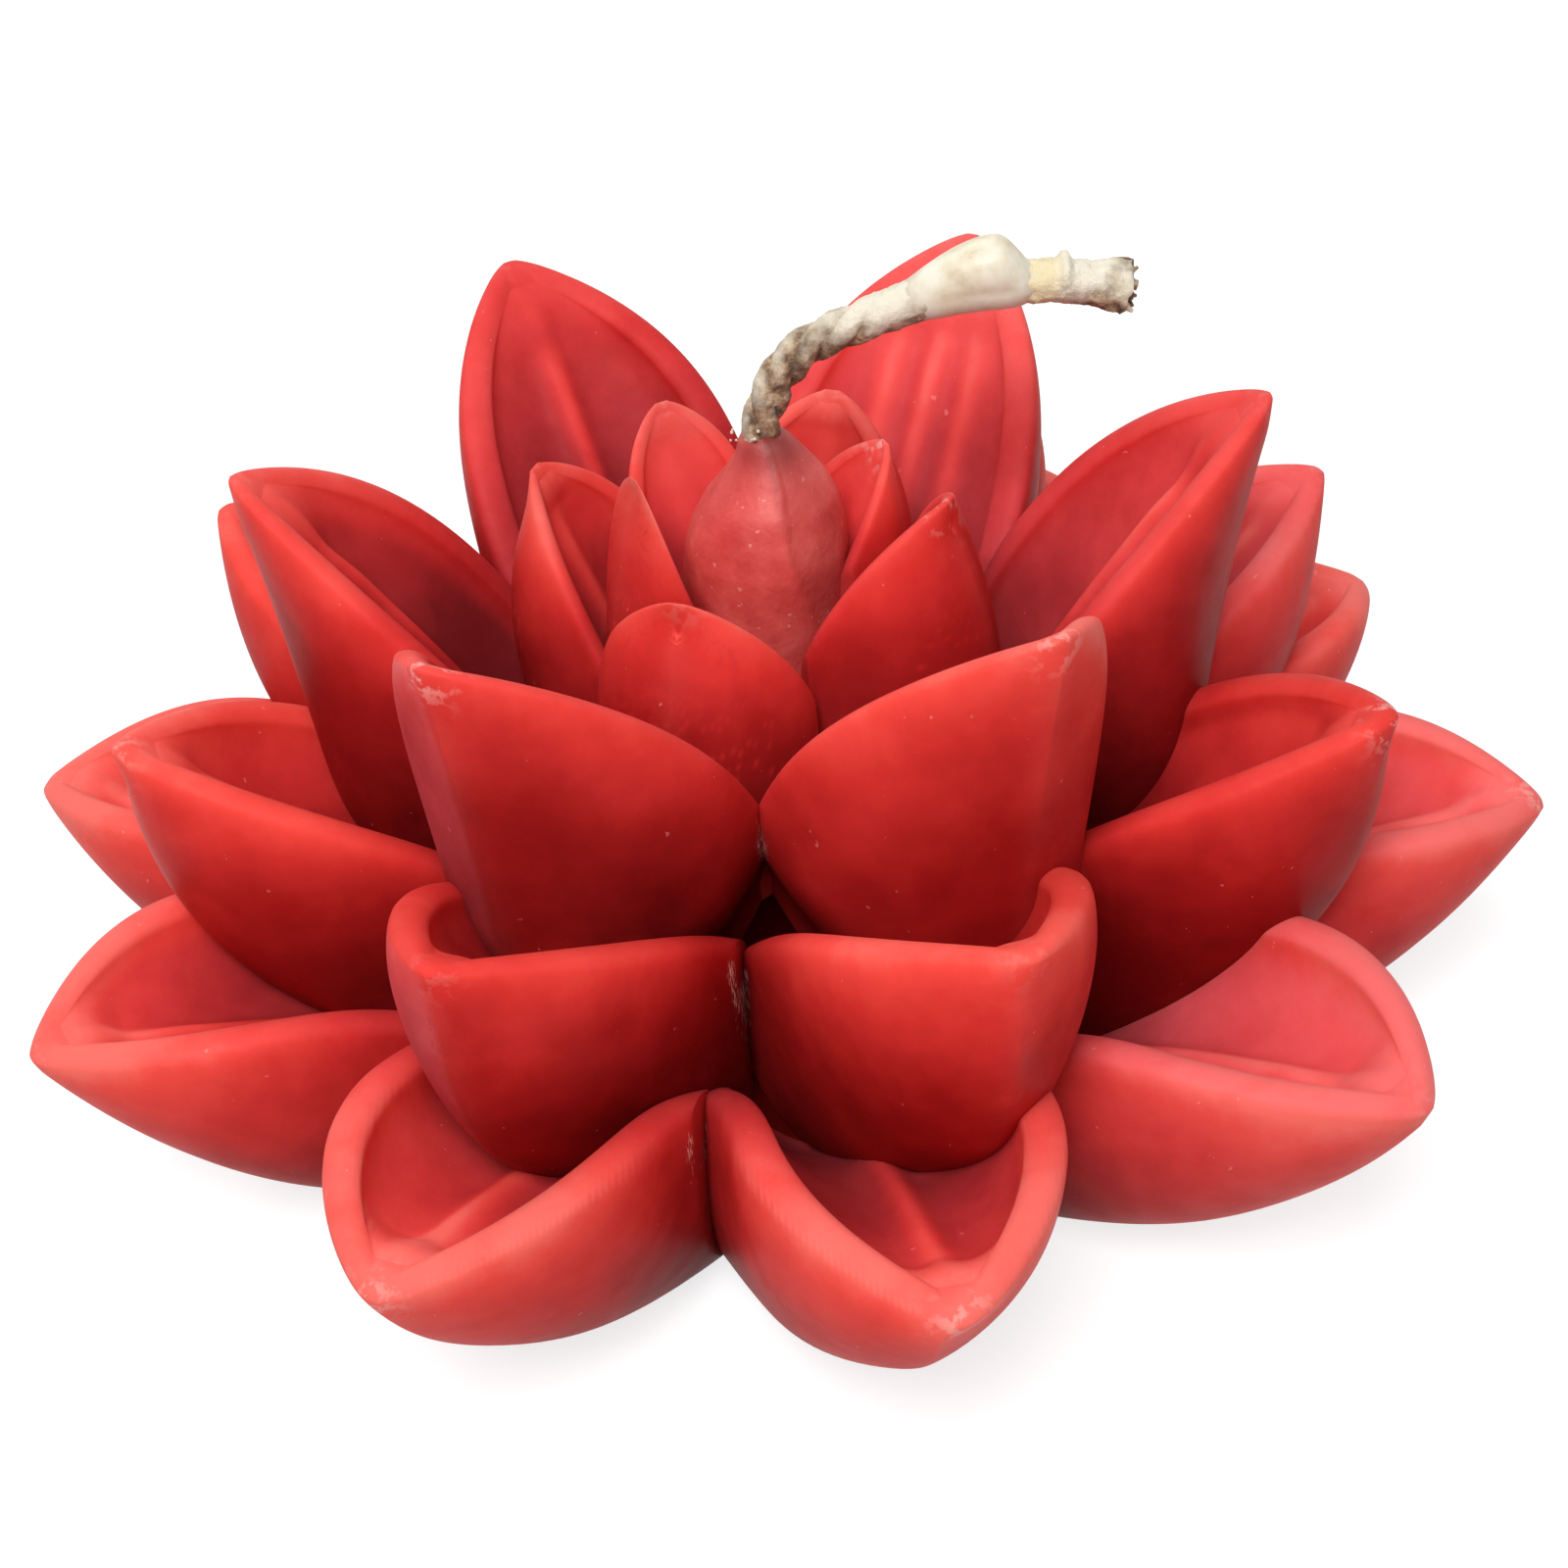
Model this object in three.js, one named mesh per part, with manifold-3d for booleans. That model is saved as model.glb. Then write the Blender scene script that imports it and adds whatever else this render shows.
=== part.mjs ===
// Lotus candle: rings of boat-shaped wax petals round a wax core, a pointed bud and a waxed cotton wick.
// Millimetres, z up. The origin is on the flower's axis, at the level that the candle stands on.
// Azimuths are in degrees: 0 points along -y, and they grow towards +x.

import * as THREE from 'three';
import { mergeVertices } from 'three/addons/utils/BufferGeometryUtils.js';
import Module from 'manifold-3d';

const wasm = await Module();
wasm.setup();

// Clearances and steps that every piece shares
const gap = 0.3;
const overrun = 4;
const roundSides = 36;

// Core: the domed middle that the petals grow from, bored for the wick
const core = {
  footRadius: 24.5,
  footHeight: 4.5,
  topRadius: 5.2,
  topHeight: 27.5,
  // Shares of the way from the top edge out to the foot, and of the way down
  slopeShares: [[0, 0], [0.1, 0.09], [0.24, 0.2], [0.42, 0.34], [0.62, 0.5], [0.8, 0.68], [0.93, 0.86], [1, 1]],
};

// Wick: braided cotton, cast into the wax and bent over above the bud
const wick = {
  diameter: 2.7,
  footHeight: 2.4,
  sides: 8,
  steps: 30,
};

// The wick's centre line above the bud, as distance towards +x and height
const wickRoute = [
  [0.75, 38], [0.8, 44.2], [1.5, 46.9], [2.6, 49.0], [4.3, 50.5], [6.7, 51.5], [9.2, 52.4], [12, 53.2],
  [14.8, 53.8], [17.2, 53.9], [19.4, 53.6], [21.4, 53.2], [23.1, 52.7],
];

// Cooled drop of pale wax that clings to the wick
const drop = {
  length: 5.4,
  thickness: 4.8,
  routeShare: 0.863,
};

// Bud: closed pointed middle of the flower
const bud = {
  offset: 0.75,
  radius: 5.4,
  apexHeight: 43.9,
  seatRadius: 4.4,
  tipRise: 0.6,
  // Shares of the radius, and of the height from the seat to the apex
  profileShares: [[0.9, 0.16], [1, 0.36], [0.99, 0.5], [0.9, 0.64], [0.72, 0.78], [0.5, 0.89], [0.32, 0.96]],
};

// Petal rings from the floor up. Each petal is a boat: a rim curve and a keel curve run from the root
// to the tip, each with one swell point between them that pulls it outwards.
const bottomRing = {
  name: 'bottom_petal',
  count: 10,
  firstAzimuth: -26.6,
  azimuthShifts: [-0.4, 0, -0.5, 1, 0, 0, 0, 0, 0, -1],
  seamShifts: [0, -1.5],
  keelLeans: [0, -1.2],
  tipRadius: 50.4,
  tipHeight: 17.9,
  tipDepth: 1.3,
  tipUndercut: 0.5,
  rimSwellRadius: 36.3,
  rimSwellHeight: 23.4,
  rimRootRadius: 23.4,
  rimRootHeight: 13.3,
  keelSwellRadius: 41,
  keelSwellHeight: 1.2,
  keelRootRadius: core.footRadius,
  keelRootHeight: -0.8,
  rootReach: 5,
  rootDrop: 0,
  halfWidth: 9.3,
  rootHalfWidth: 10.2,
  rootRoundness: 3.6,
  noseWidth: 1.3,
  rimWall: 2.6,
  keelWall: 3,
  hollowDepth: 6.2,
  ribHeight: 1.2,
  lipHeight: 0.5,
  widestShare: 0.62,
  taperPower: 2.7,
  stations: 7,
  columns: 4,
};
const lowerRing = {
  name: 'lower_petal',
  count: 8,
  firstAzimuth: -26.6,
  azimuthShifts: [-0.5, 0.3, 0.3, 0.3, 0, 0, -0.2, -1],
  seamShifts: [0, -2],
  keelLeans: [0, -0.6],
  tipRadius: 41,
  tipHeight: 32.8,
  tipDepth: 2.4,
  tipUndercut: 0.4,
  rimSwellRadius: 24.9,
  rimSwellHeight: 28.9,
  rimRootRadius: 11.4,
  rimRootHeight: 13,
  keelSwellRadius: 40.2,
  keelSwellHeight: 13.6,
  keelRootRadius: 24.8,
  keelRootHeight: 6.2,
  rootReach: 5,
  rootDrop: 2,
  halfWidth: 9,
  rootHalfWidth: 8.8,
  rootRoundness: 2.6,
  noseWidth: 1.3,
  rimWall: 2.6,
  keelWall: 3,
  hollowDepth: 5.2,
  ribHeight: 1.2,
  lipHeight: 0.5,
  widestShare: 0.55,
  taperPower: 2.5,
  stations: 7,
  columns: 4,
};
const middleRing = {
  name: 'middle_petal',
  count: 6,
  firstAzimuth: -30.9,
  azimuthShifts: [-3, 0.7, -0.5, -0.6, 0, 3.3],
  tipShares: [[1, 1], [1, 1], [1, 1], [1, 1], [1, 1], [0.98, 0.985]],
  tipRadius: 32.2,
  tipHeight: 45.5,
  tipDepth: 2.5,
  tipUndercut: 0.2,
  rimSwellRadius: 19,
  rimSwellHeight: 38.3,
  rimRootRadius: 11.7,
  rimRootHeight: 21.9,
  keelSwellRadius: 29,
  keelSwellHeight: 29.9,
  keelRootRadius: 27.9,
  keelRootHeight: 14,
  rootReach: 6,
  rootDrop: 4,
  halfWidth: 10.2,
  rootHalfWidth: 6.4,
  rootRoundness: 2.2,
  noseWidth: 1.3,
  rimWall: 2.4,
  keelWall: 3.2,
  hollowDepth: 3.8,
  ribHeight: 1.2,
  lipHeight: 0.4,
  widestShare: 0.72,
  taperPower: 2.6,
  stations: 7,
  columns: 4,
};
const innerRing = {
  name: 'inner_petal',
  count: 4,
  firstAzimuth: -21.3,
  azimuthShifts: [0, -9, -4, 0],
  seamShifts: [0, -3],
  tipShares: [[0.94, 0.97], [1, 1.042], [1.02, 1], [1.06, 0.99]],
  rimShares: [[1, 1], [0.78, 1.085], [0.9, 1.06], [1, 1.04]],
  tipRadius: 13.8,
  tipHeight: 41.3,
  tipDepth: 1.9,
  tipUndercut: 0,
  rimSwellRadius: 9.8,
  rimSwellHeight: 35.2,
  rimRootRadius: 6.6,
  rimRootHeight: 26.2,
  keelSwellRadius: 18.8,
  keelSwellHeight: 32.2,
  keelRootRadius: 15,
  keelRootHeight: 21.5,
  rootReach: 2,
  rootDrop: 8,
  halfWidth: 7.1,
  rootHalfWidth: 6.5,
  rootRoundness: 2.4,
  noseWidth: 2,
  rimWall: 1.5,
  keelWall: 1.9,
  hollowDepth: 2.6,
  ribHeight: 0.5,
  lipHeight: 0.3,
  widestShare: 0.83,
  taperPower: 2.3,
  stations: 6,
  columns: 3,
};
const budRing = {
  name: 'bud_petal',
  count: 4,
  firstAzimuth: 23.7,
  azimuthShifts: [0, -4, 6, 2],
  missingPlaces: [0],
  tipShares: [[1, 1], [0.98, 0.985], [1.12, 1.005], [0.8, 1.03]],
  rimShares: [[1, 1], [0.68, 1.01]],
  tipRadius: 9.6,
  tipHeight: 42.7,
  tipDepth: 1.5,
  tipUndercut: -0.2,
  rimSwellRadius: 7.6,
  rimSwellHeight: 38.4,
  rimRootRadius: 4.6,
  rimRootHeight: 32,
  keelSwellRadius: 11,
  keelSwellHeight: 34,
  keelRootRadius: 9.6,
  keelRootHeight: 26,
  rootReach: 1,
  rootDrop: 8,
  halfWidth: 4.6,
  rootHalfWidth: 4,
  rootRoundness: 2.2,
  noseWidth: 1.6,
  rimWall: 1.1,
  keelWall: 1.4,
  hollowDepth: 1.6,
  ribHeight: 0.3,
  lipHeight: 0.2,
  widestShare: 0.8,
  taperPower: 2.8,
  stations: 6,
  columns: 3,
};

// What every petal shares. A roundness of 4 makes the cross-section nearly a box, 2 an ellipse and 1 a V.
const bowlRoundness = 2;
const tipRoundness = 1.15;
// Stations lie closer together towards the tip
const stationPower = 1.7;
// The hollow ends before the tip, where the petal gets too narrow for its two rim walls
const hollowFadePower = 4;
const hollowEndShare = 0.97;
const hollowStepShare = 0.0025;
const ribFadeShare = 0.3;
const noseShare = 0.3;

// Outermost first: each ring is cut back to clear every ring after it
const rings = [bottomRing, lowerRing, middleRing, innerRing, budRing];

const wax = (red, green, blue) => new THREE.MeshStandardMaterial({
  color: new THREE.Color(red, green, blue), roughness: 0.45, metalness: 0,
});
const petalWax = wax(0.72, 0.07, 0.06);
const budWax = wax(0.62, 0.09, 0.1);
const paleWax = wax(0.8, 0.74, 0.58);
const cotton = new THREE.MeshStandardMaterial({
  color: new THREE.Color(0.68, 0.6, 0.45), roughness: 0.9, metalness: 0,
});

// Solids for joining and cutting

function toSolid(geometry) {
  const bare = geometry.clone();
  bare.deleteAttribute('normal');
  bare.deleteAttribute('uv');
  const merged = mergeVertices(bare);
  const places = merged.getAttribute('position').array;
  const corners = merged.getIndex().array;
  const whole = [];
  for (let i = 0; i < corners.length; i += 3) {
    const [a, b, c] = corners.slice(i, i + 3);
    if (a !== b && b !== c && c !== a) whole.push(a, b, c);
  }
  return new wasm.Manifold(new wasm.Mesh({
    numProp: 3, vertProperties: new Float32Array(places), triVerts: new Uint32Array(whole),
  }));
}

// A cut can leave hidden slivers between two petals, so only the largest body is kept
function largestBody(solid) {
  const bodies = solid.decompose();
  return bodies.reduce((best, body) => (body.volume() > best.volume() ? body : best));
}

function toGeometry(solid) {
  const mesh = solid.getMesh();
  const geometry = new THREE.BufferGeometry();
  geometry.setAttribute('position', new THREE.BufferAttribute(mesh.vertProperties, 3));
  geometry.setIndex(new THREE.BufferAttribute(mesh.triVerts, 1));
  geometry.computeVertexNormals();
  return geometry;
}

// A skin over rings of points, each ring with the same count, closed by the two end faces given
function skin(ringsOfPoints, startFaces, endFaces) {
  const perRing = ringsOfPoints[0].length;
  const faces = [];
  const quad = (a, b, c, d) => faces.push(a, b, c, a, c, d);
  for (let i = 0; i + 1 < ringsOfPoints.length; i += 1) {
    for (let j = 0; j < perRing; j += 1) {
      const next = (j + 1) % perRing;
      quad(i * perRing + j, i * perRing + next, (i + 1) * perRing + next, (i + 1) * perRing + j);
    }
  }
  const last = (ringsOfPoints.length - 1) * perRing;
  startFaces.forEach(([a, b, c]) => faces.push(a, c, b));
  endFaces.forEach(([a, b, c]) => faces.push(last + a, last + b, last + c));
  const geometry = new THREE.BufferGeometry();
  const places = ringsOfPoints.flat().flatMap((point) => [point.x, point.y, point.z]);
  geometry.setAttribute('position', new THREE.Float32BufferAttribute(places, 3));
  geometry.setIndex(faces);
  return geometry;
}

function lathe(profile) {
  const points = profile.map(([radius, height]) => new THREE.Vector2(radius, height));
  return new THREE.LatheGeometry(points, roundSides).rotateX(Math.PI / 2);
}

// Petal shape: radial distance is x and height is y in the plane of a curve

const along = (root, swell, tip, share) => {
  const rest = 1 - share;
  return root.clone().multiplyScalar(rest * rest)
    .addScaledVector(swell, 2 * rest * share)
    .addScaledVector(tip, share * share);
};

function rimAt(ring, share) {
  return along(
    new THREE.Vector2(ring.rimRootRadius, ring.rimRootHeight),
    new THREE.Vector2(ring.rimSwellRadius, ring.rimSwellHeight),
    new THREE.Vector2(ring.tipRadius, ring.tipHeight),
    share,
  );
}

function keelAt(ring, share) {
  return along(
    new THREE.Vector2(ring.keelRootRadius, ring.keelRootHeight),
    new THREE.Vector2(ring.keelSwellRadius, ring.keelSwellHeight),
    new THREE.Vector2(ring.tipRadius - ring.tipUndercut, ring.tipHeight - ring.tipDepth),
    share,
  );
}

// Half the petal's width at a share of the way from root to tip, with a rounded, slightly blunt nose
function halfWidthAt(ring, share) {
  const fromTip = 1 - share;
  const { halfWidth, rootHalfWidth, widestShare, taperPower, noseWidth } = ring;
  let width = halfWidth * (1 - (1 - fromTip / widestShare) ** taperPower);
  if (fromTip >= widestShare) {
    const inward = (fromTip - widestShare) / (1 - widestShare);
    width = halfWidth - (halfWidth - rootHalfWidth) * inward ** 2;
  }
  const full = Math.sqrt(halfWidth ** 2 + 2 * halfWidth * noseWidth);
  return Math.max((halfWidth * Math.sqrt(width ** 2 + 2 * width * noseWidth)) / full, noseWidth * noseShare);
}

// Points of one U-shaped row, from one rim edge round the keel to the other
function row(ring, rim, keel, halfWidth, depth, roundness, ribHeight) {
  const down = keel.clone().sub(rim).normalize();
  const { keelLean = 0 } = ring;
  const points = [];
  for (let column = -ring.columns; column <= ring.columns; column += 1) {
    const angle = (column / ring.columns) * (Math.PI / 2);
    const sideShare = Math.sign(angle) * Math.abs(Math.sin(angle)) ** (2 / roundness);
    const fallShare = Math.abs(Math.cos(angle)) ** (2 / Math.max(roundness, bowlRoundness));
    const rib = column === 0 ? ribHeight : 0;
    const place = rim.clone().addScaledVector(down, depth * fallShare - rib);
    points.push(new THREE.Vector3(halfWidth * sideShare + keelLean * fallShare, -place.x, place.y));
  }
  return points;
}

// Faces that close a ring of points by rungs between its left and right halves
function ladder(perRing, pivot) {
  const faces = [];
  const wrap = (index) => (index + perRing) % perRing;
  for (let step = 0; 2 * step + 1 < perRing; step += 1) {
    const [left, right] = [wrap(pivot - step), wrap(pivot + step)];
    const [nextLeft, nextRight] = [wrap(pivot - step - 1), wrap(pivot + step + 1)];
    if (right !== left) faces.push([left, right, nextRight]);
    if (nextRight !== nextLeft) faces.push([left, nextRight, nextLeft]);
  }
  return faces;
}

const roundnessAt = (ring, share) => ring.rootRoundness + (tipRoundness - ring.rootRoundness) * share;

const stationShares = (ring) => Array.from({ length: ring.stations + 1 }, (_, step) => (
  1 - (1 - step / ring.stations) ** stationPower
));

// The root row is repeated further in and down, where the core or a petal above cuts it off
const reachInward = (ring, points) => points.map((point) => (
  point.clone().add(new THREE.Vector3(0, ring.rootReach, -ring.rootDrop))
));

// The share at which a petal gets nearly as narrow as its rim walls, which ends its hollow
function hollowEnd(ring) {
  let share = 1;
  while (halfWidthAt(ring, share) < ring.rimWall) share -= hollowStepShare;
  return share * hollowEndShare;
}

// One closed row of a hollow petal: outer skin, a lip, inner skin, the other lip
function shellRow(ring, share, end) {
  const rim = rimAt(ring, share);
  const keel = keelAt(ring, share);
  const roundness = roundnessAt(ring, share);
  const outer = row(ring, rim, keel, halfWidthAt(ring, share), rim.distanceTo(keel), roundness, 0);
  const innerRim = rimAt(ring, share * end);
  const innerKeel = keelAt(ring, share * end);
  const room = Math.max(innerRim.distanceTo(innerKeel) - ring.keelWall, 0);
  const depth = Math.min(ring.hollowDepth, room) * (1 - share ** hollowFadePower);
  const innerWidth = Math.max(halfWidthAt(ring, share * end) - ring.rimWall, ring.noseWidth * noseShare);
  const ribHeight = ring.ribHeight * Math.min(1, (1 - share) / ribFadeShare);
  const inner = row({ ...ring, keelLean: 0 }, innerRim, innerKeel, innerWidth, depth, bowlRoundness, ribHeight);
  const up = rim.clone().sub(keel).setLength(ring.lipHeight);
  const lip = (a, b) => a.clone().lerp(b, 1 / 2).add(new THREE.Vector3(0, -up.x, up.y));
  const last = 2 * ring.columns;
  return [...outer, lip(outer[last], inner[last]), ...inner.toReversed(), lip(outer[0], inner[0])];
}

// One hollow petal on azimuth 0, open at the root, where the core closes it
function petalShell(ring) {
  const end = hollowEnd(ring);
  const rows = stationShares(ring).map((share) => shellRow(ring, share, end));
  rows.unshift(reachInward(ring, rows[0]));
  const last = 2 * ring.columns;
  const innerFirst = last + 2;
  const rootFaces = [[last, last + 1, innerFirst], [0, innerFirst + last, innerFirst + last + 1]];
  for (let column = 0; column < last; column += 1) {
    const facing = innerFirst + last - column;
    rootFaces.push([column, column + 1, facing - 1], [column, facing - 1, facing]);
  }
  return toSolid(skin(rows, rootFaces, ladder(rows[0].length, ring.columns)));
}

// The space that one petal fills on azimuth 0, closed over its hollow and grown by the gap
function petalEnvelope(ring) {
  const rows = stationShares(ring).map((share) => {
    const rim = rimAt(ring, share);
    const keel = keelAt(ring, share);
    const up = rim.clone().sub(keel).normalize();
    rim.addScaledVector(up, gap + ring.lipHeight);
    keel.addScaledVector(up, -gap);
    const roundness = roundnessAt(ring, share);
    return row(ring, rim, keel, halfWidthAt(ring, share) + gap, rim.distanceTo(keel), roundness, 0);
  });
  rows.unshift(reachInward(ring, rows[0]));
  const closing = ladder(rows[0].length, ring.columns);
  return toSolid(skin(rows, closing, closing));
}

const radians = (degrees) => (degrees * Math.PI) / 180;

const ownSizes = (ring, tipShares = [1, 1], rimShares = [1, 1], keelLean = 0) => ({
  ...ring,
  keelLean,
  tipRadius: ring.tipRadius * tipShares[0],
  tipHeight: ring.tipHeight * tipShares[1],
  rimSwellRadius: ring.rimSwellRadius * rimShares[0],
  rimSwellHeight: ring.rimSwellHeight * rimShares[1],
  rimRootRadius: ring.rimRootRadius * rimShares[0],
  rimRootHeight: ring.rimRootHeight * rimShares[1],
});

// Where each petal of a ring points, the azimuths of the seams on its two sides, and its own sizes
function places(ring) {
  const { azimuthShifts, count, missingPlaces = [], seamShifts = [] } = ring;
  const { tipShares = [], rimShares = [], keelLeans = [] } = ring;
  const azimuth = (place) => (
    ring.firstAzimuth + (place * 360) / count + azimuthShifts[(place + count) % count]
  );
  const seam = (place) => (azimuth(place - 1) + azimuth(place)) / 2 + (seamShifts[place % count] ?? 0);
  return azimuthShifts.map((_, place) => ({
    place,
    azimuth: azimuth(place),
    before: seam(place),
    after: seam(place + 1),
    sizes: ownSizes(ring, tipShares[place], rimShares[place], keelLeans[place]),
  })).filter(({ place }) => !missingPlaces.includes(place));
}

// The wedge between the seams on a petal's two sides, less half the gap at each
function wedge(ring, { before, after }) {
  const half = radians((after - before) / 2);
  const apex = new THREE.Vector2(0, -gap / 2 / Math.sin(half));
  const reach = 2 * (ring.tipRadius + overrun);
  const ray = (angle) => new THREE.Vector2(Math.sin(angle), -Math.cos(angle)).multiplyScalar(reach).add(apex);
  const outline = new THREE.Shape([apex, ray(-half), ray(0), ray(half)]);
  const tall = ring.tipHeight + 2 * overrun;
  const geometry = new THREE.ExtrudeGeometry(outline, { depth: tall, bevelEnabled: false });
  return toSolid(geometry.translate(0, 0, -overrun).rotateZ(radians((before + after) / 2)));
}

// What stands on the floor ends flat there
function groundSlab() {
  const reach = 2 * (bottomRing.tipRadius + overrun);
  const slab = new THREE.BoxGeometry(reach, reach, overrun);
  return toSolid(slab.translate(0, 0, -overrun / 2));
}

const turned = (solid, azimuth) => solid.rotate([0, 0, azimuth]);

// Core, bud and wick

const boreRadius = wick.diameter / 2 + gap;

function wickBore(footHeight) {
  const tall = bud.apexHeight + overrun - footHeight;
  const round = new THREE.CylinderGeometry(boreRadius, boreRadius, tall, wick.sides * 2);
  return toSolid(round.rotateX(Math.PI / 2).translate(bud.offset, 0, footHeight + tall / 2));
}

function coreBlank(clearance) {
  const slope = core.slopeShares.map(([out, down]) => [
    core.topRadius + (core.footRadius - core.topRadius) * out + clearance,
    core.topHeight - (core.topHeight - core.footHeight) * down + clearance,
  ]);
  return toSolid(lathe([
    [0, -clearance],
    [core.footRadius + clearance, -clearance],
    ...slope.toReversed(),
    [0, core.topHeight + clearance],
  ]));
}

function budBlank(clearance) {
  const seat = core.topHeight + gap;
  const side = bud.profileShares.map(([out, up]) => [
    bud.radius * out + clearance,
    seat + (bud.apexHeight - seat) * up,
  ]);
  const blank = toSolid(lathe([
    [0, seat - clearance],
    [bud.seatRadius + clearance, seat - clearance],
    ...side,
    [0, bud.apexHeight + bud.tipRise + clearance],
  ]));
  return blank.translate([bud.offset, 0, 0]);
}

const wickCurve = new THREE.CatmullRomCurve3([
  [bud.offset, wick.footHeight],
  [bud.offset, (wick.footHeight + bud.apexHeight) / 2],
  ...wickRoute,
].map(([x, z]) => new THREE.Vector3(x, 0, z)), false, 'centripetal');

function wickTube(radius) {
  const corners = Array.from({ length: wick.sides }, (_, side) => {
    const angle = (2 * Math.PI * side) / wick.sides;
    return new THREE.Vector2(radius * Math.cos(angle), radius * Math.sin(angle));
  });
  const geometry = new THREE.ExtrudeGeometry(new THREE.Shape(corners), {
    steps: wick.steps, extrudePath: wickCurve, bevelEnabled: false,
  });
  return toSolid(geometry);
}

function dropBlank() {
  const ball = new THREE.SphereGeometry(1, wick.sides * 2, wick.sides);
  ball.rotateX(Math.PI / 2).scale(drop.thickness / 2, drop.thickness / 2, drop.length / 2);
  const direction = wickCurve.getTangentAt(drop.routeShare);
  ball.applyQuaternion(new THREE.Quaternion().setFromUnitVectors(new THREE.Vector3(0, 0, 1), direction));
  const centre = wickCurve.getPointAt(drop.routeShare);
  return toSolid(ball.translate(centre.x, centre.y, centre.z));
}

// Assembly

const candle = new THREE.Group();

function add(name, solid, material) {
  const mesh = new THREE.Mesh(toGeometry(largestBody(solid)), material);
  mesh.name = name;
  candle.add(mesh);
}

const joined = (solids) => solids.reduce((whole, solid) => whole.add(solid));

add('core', coreBlank(0).subtract(wickBore(wick.footHeight - gap)), petalWax);
add('bud', budBlank(0).subtract(wickBore(wick.footHeight)), budWax);
add('wick', wickTube(wick.diameter / 2), cotton);
add('wick_wax_drop', dropBlank().subtract(wickTube(boreRadius)), paleWax);

let inTheWay = joined([coreBlank(gap), budBlank(gap), groundSlab()]);
rings.toReversed().forEach((ring) => {
  const kept = places(ring);
  kept.forEach((place, index) => {
    const whole = turned(petalShell(place.sizes), place.azimuth);
    const number = String(index + 1).padStart(2, '0');
    add(`${ring.name}_${number}`, whole.intersect(wedge(ring, place)).subtract(inTheWay), petalWax);
  });
  const filled = kept.map(({ sizes, azimuth }) => turned(petalEnvelope(sizes), azimuth));
  inTheWay = joined([inTheWay, ...filled]);
});

export default candle;
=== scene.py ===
# Lotus candle: fine wax petals, core, bud and waxed wick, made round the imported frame.
# Metres, z up. Azimuths are in degrees: 0 points along -y, and they grow towards +x.

import math
import random

import bmesh
import bpy
import numpy as np
from mathutils import Matrix, Vector, noise


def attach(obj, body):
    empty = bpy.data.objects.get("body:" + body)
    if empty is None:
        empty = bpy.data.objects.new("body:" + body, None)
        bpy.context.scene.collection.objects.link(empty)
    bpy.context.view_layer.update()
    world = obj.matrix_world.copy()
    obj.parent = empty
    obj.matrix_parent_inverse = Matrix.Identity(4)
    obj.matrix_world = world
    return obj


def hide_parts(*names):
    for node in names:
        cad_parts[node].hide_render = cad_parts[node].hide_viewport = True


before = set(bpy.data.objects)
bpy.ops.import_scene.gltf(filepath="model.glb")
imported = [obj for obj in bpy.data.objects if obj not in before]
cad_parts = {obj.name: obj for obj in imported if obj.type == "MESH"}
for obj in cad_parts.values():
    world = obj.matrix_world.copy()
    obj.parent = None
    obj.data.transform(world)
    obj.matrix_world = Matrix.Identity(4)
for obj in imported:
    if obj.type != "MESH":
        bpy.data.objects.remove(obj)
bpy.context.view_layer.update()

# Petal rings from the floor up. Each petal is a boat between a rim curve and a keel curve, given as
# (distance from the axis, height) at the root, at the swell between and at the tip. Tables in braces
# give single petals their own value, by their place in the ring from the first azimuth on.
# The looks are shares: pale says how light a ring's wax is drawn, the base of its painted light, tints are
# painted light and shade that make single petals lighter or darker, and hollow_painted_light_tints the same
# in the hollow, bloom and bloomed how hazy it is, painted_sheens the painted sheen beyond the keel, chipped
# the chips at the tip, scuffed the scuffs on the seam before a petal, and dusty the painted highlight on its
# keel edge. printed lists the petals with fine lines on the rim.
BOTTOM_RING = dict(
    name="bottom_petal", count=10, first_azimuth=-26.6,
    shifts=[-0.4, 0, -0.5, 1, 0, 0, 0, 0, 0, -1], seam_shifts={1: -1.5}, leans={1: -0.0012},
    tip=(0.0504, 0.0179), tip_depth=0.0013, tip_undercut=0.0005,
    rim_swell=(0.0363, 0.0234), rim_root=(0.0234, 0.0133),
    keel_swell=(0.041, 0.0012), keel_root=(0.0245, -0.0008),
    root_reach=0.005, root_drop=0.0, root_roundness=3.6,
    half_width=0.0093, root_half_width=0.0102, nose=0.0013,
    rim_wall=0.0026, keel_wall=0.003, hollow=0.0062, rib=0.0012, lip=0.0005, crest=0.0005,
    widest_share=0.62, taper_power=2.7,
    pale=0.26, painted_light_tints={0: -0.03, 1: -0.04, 2: 0.1, 9: -0.05}, hollow_painted_light_tints={1: -0.2, 9: -0.12},
    bloom=0.1, bloomed={2: 0.3, 3: 0.25},
    chipped={3: 1.0, 0: 0.5, 1: 0.6}, scuffed={1: 0.8}, printed=[0, 1],
)
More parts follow.
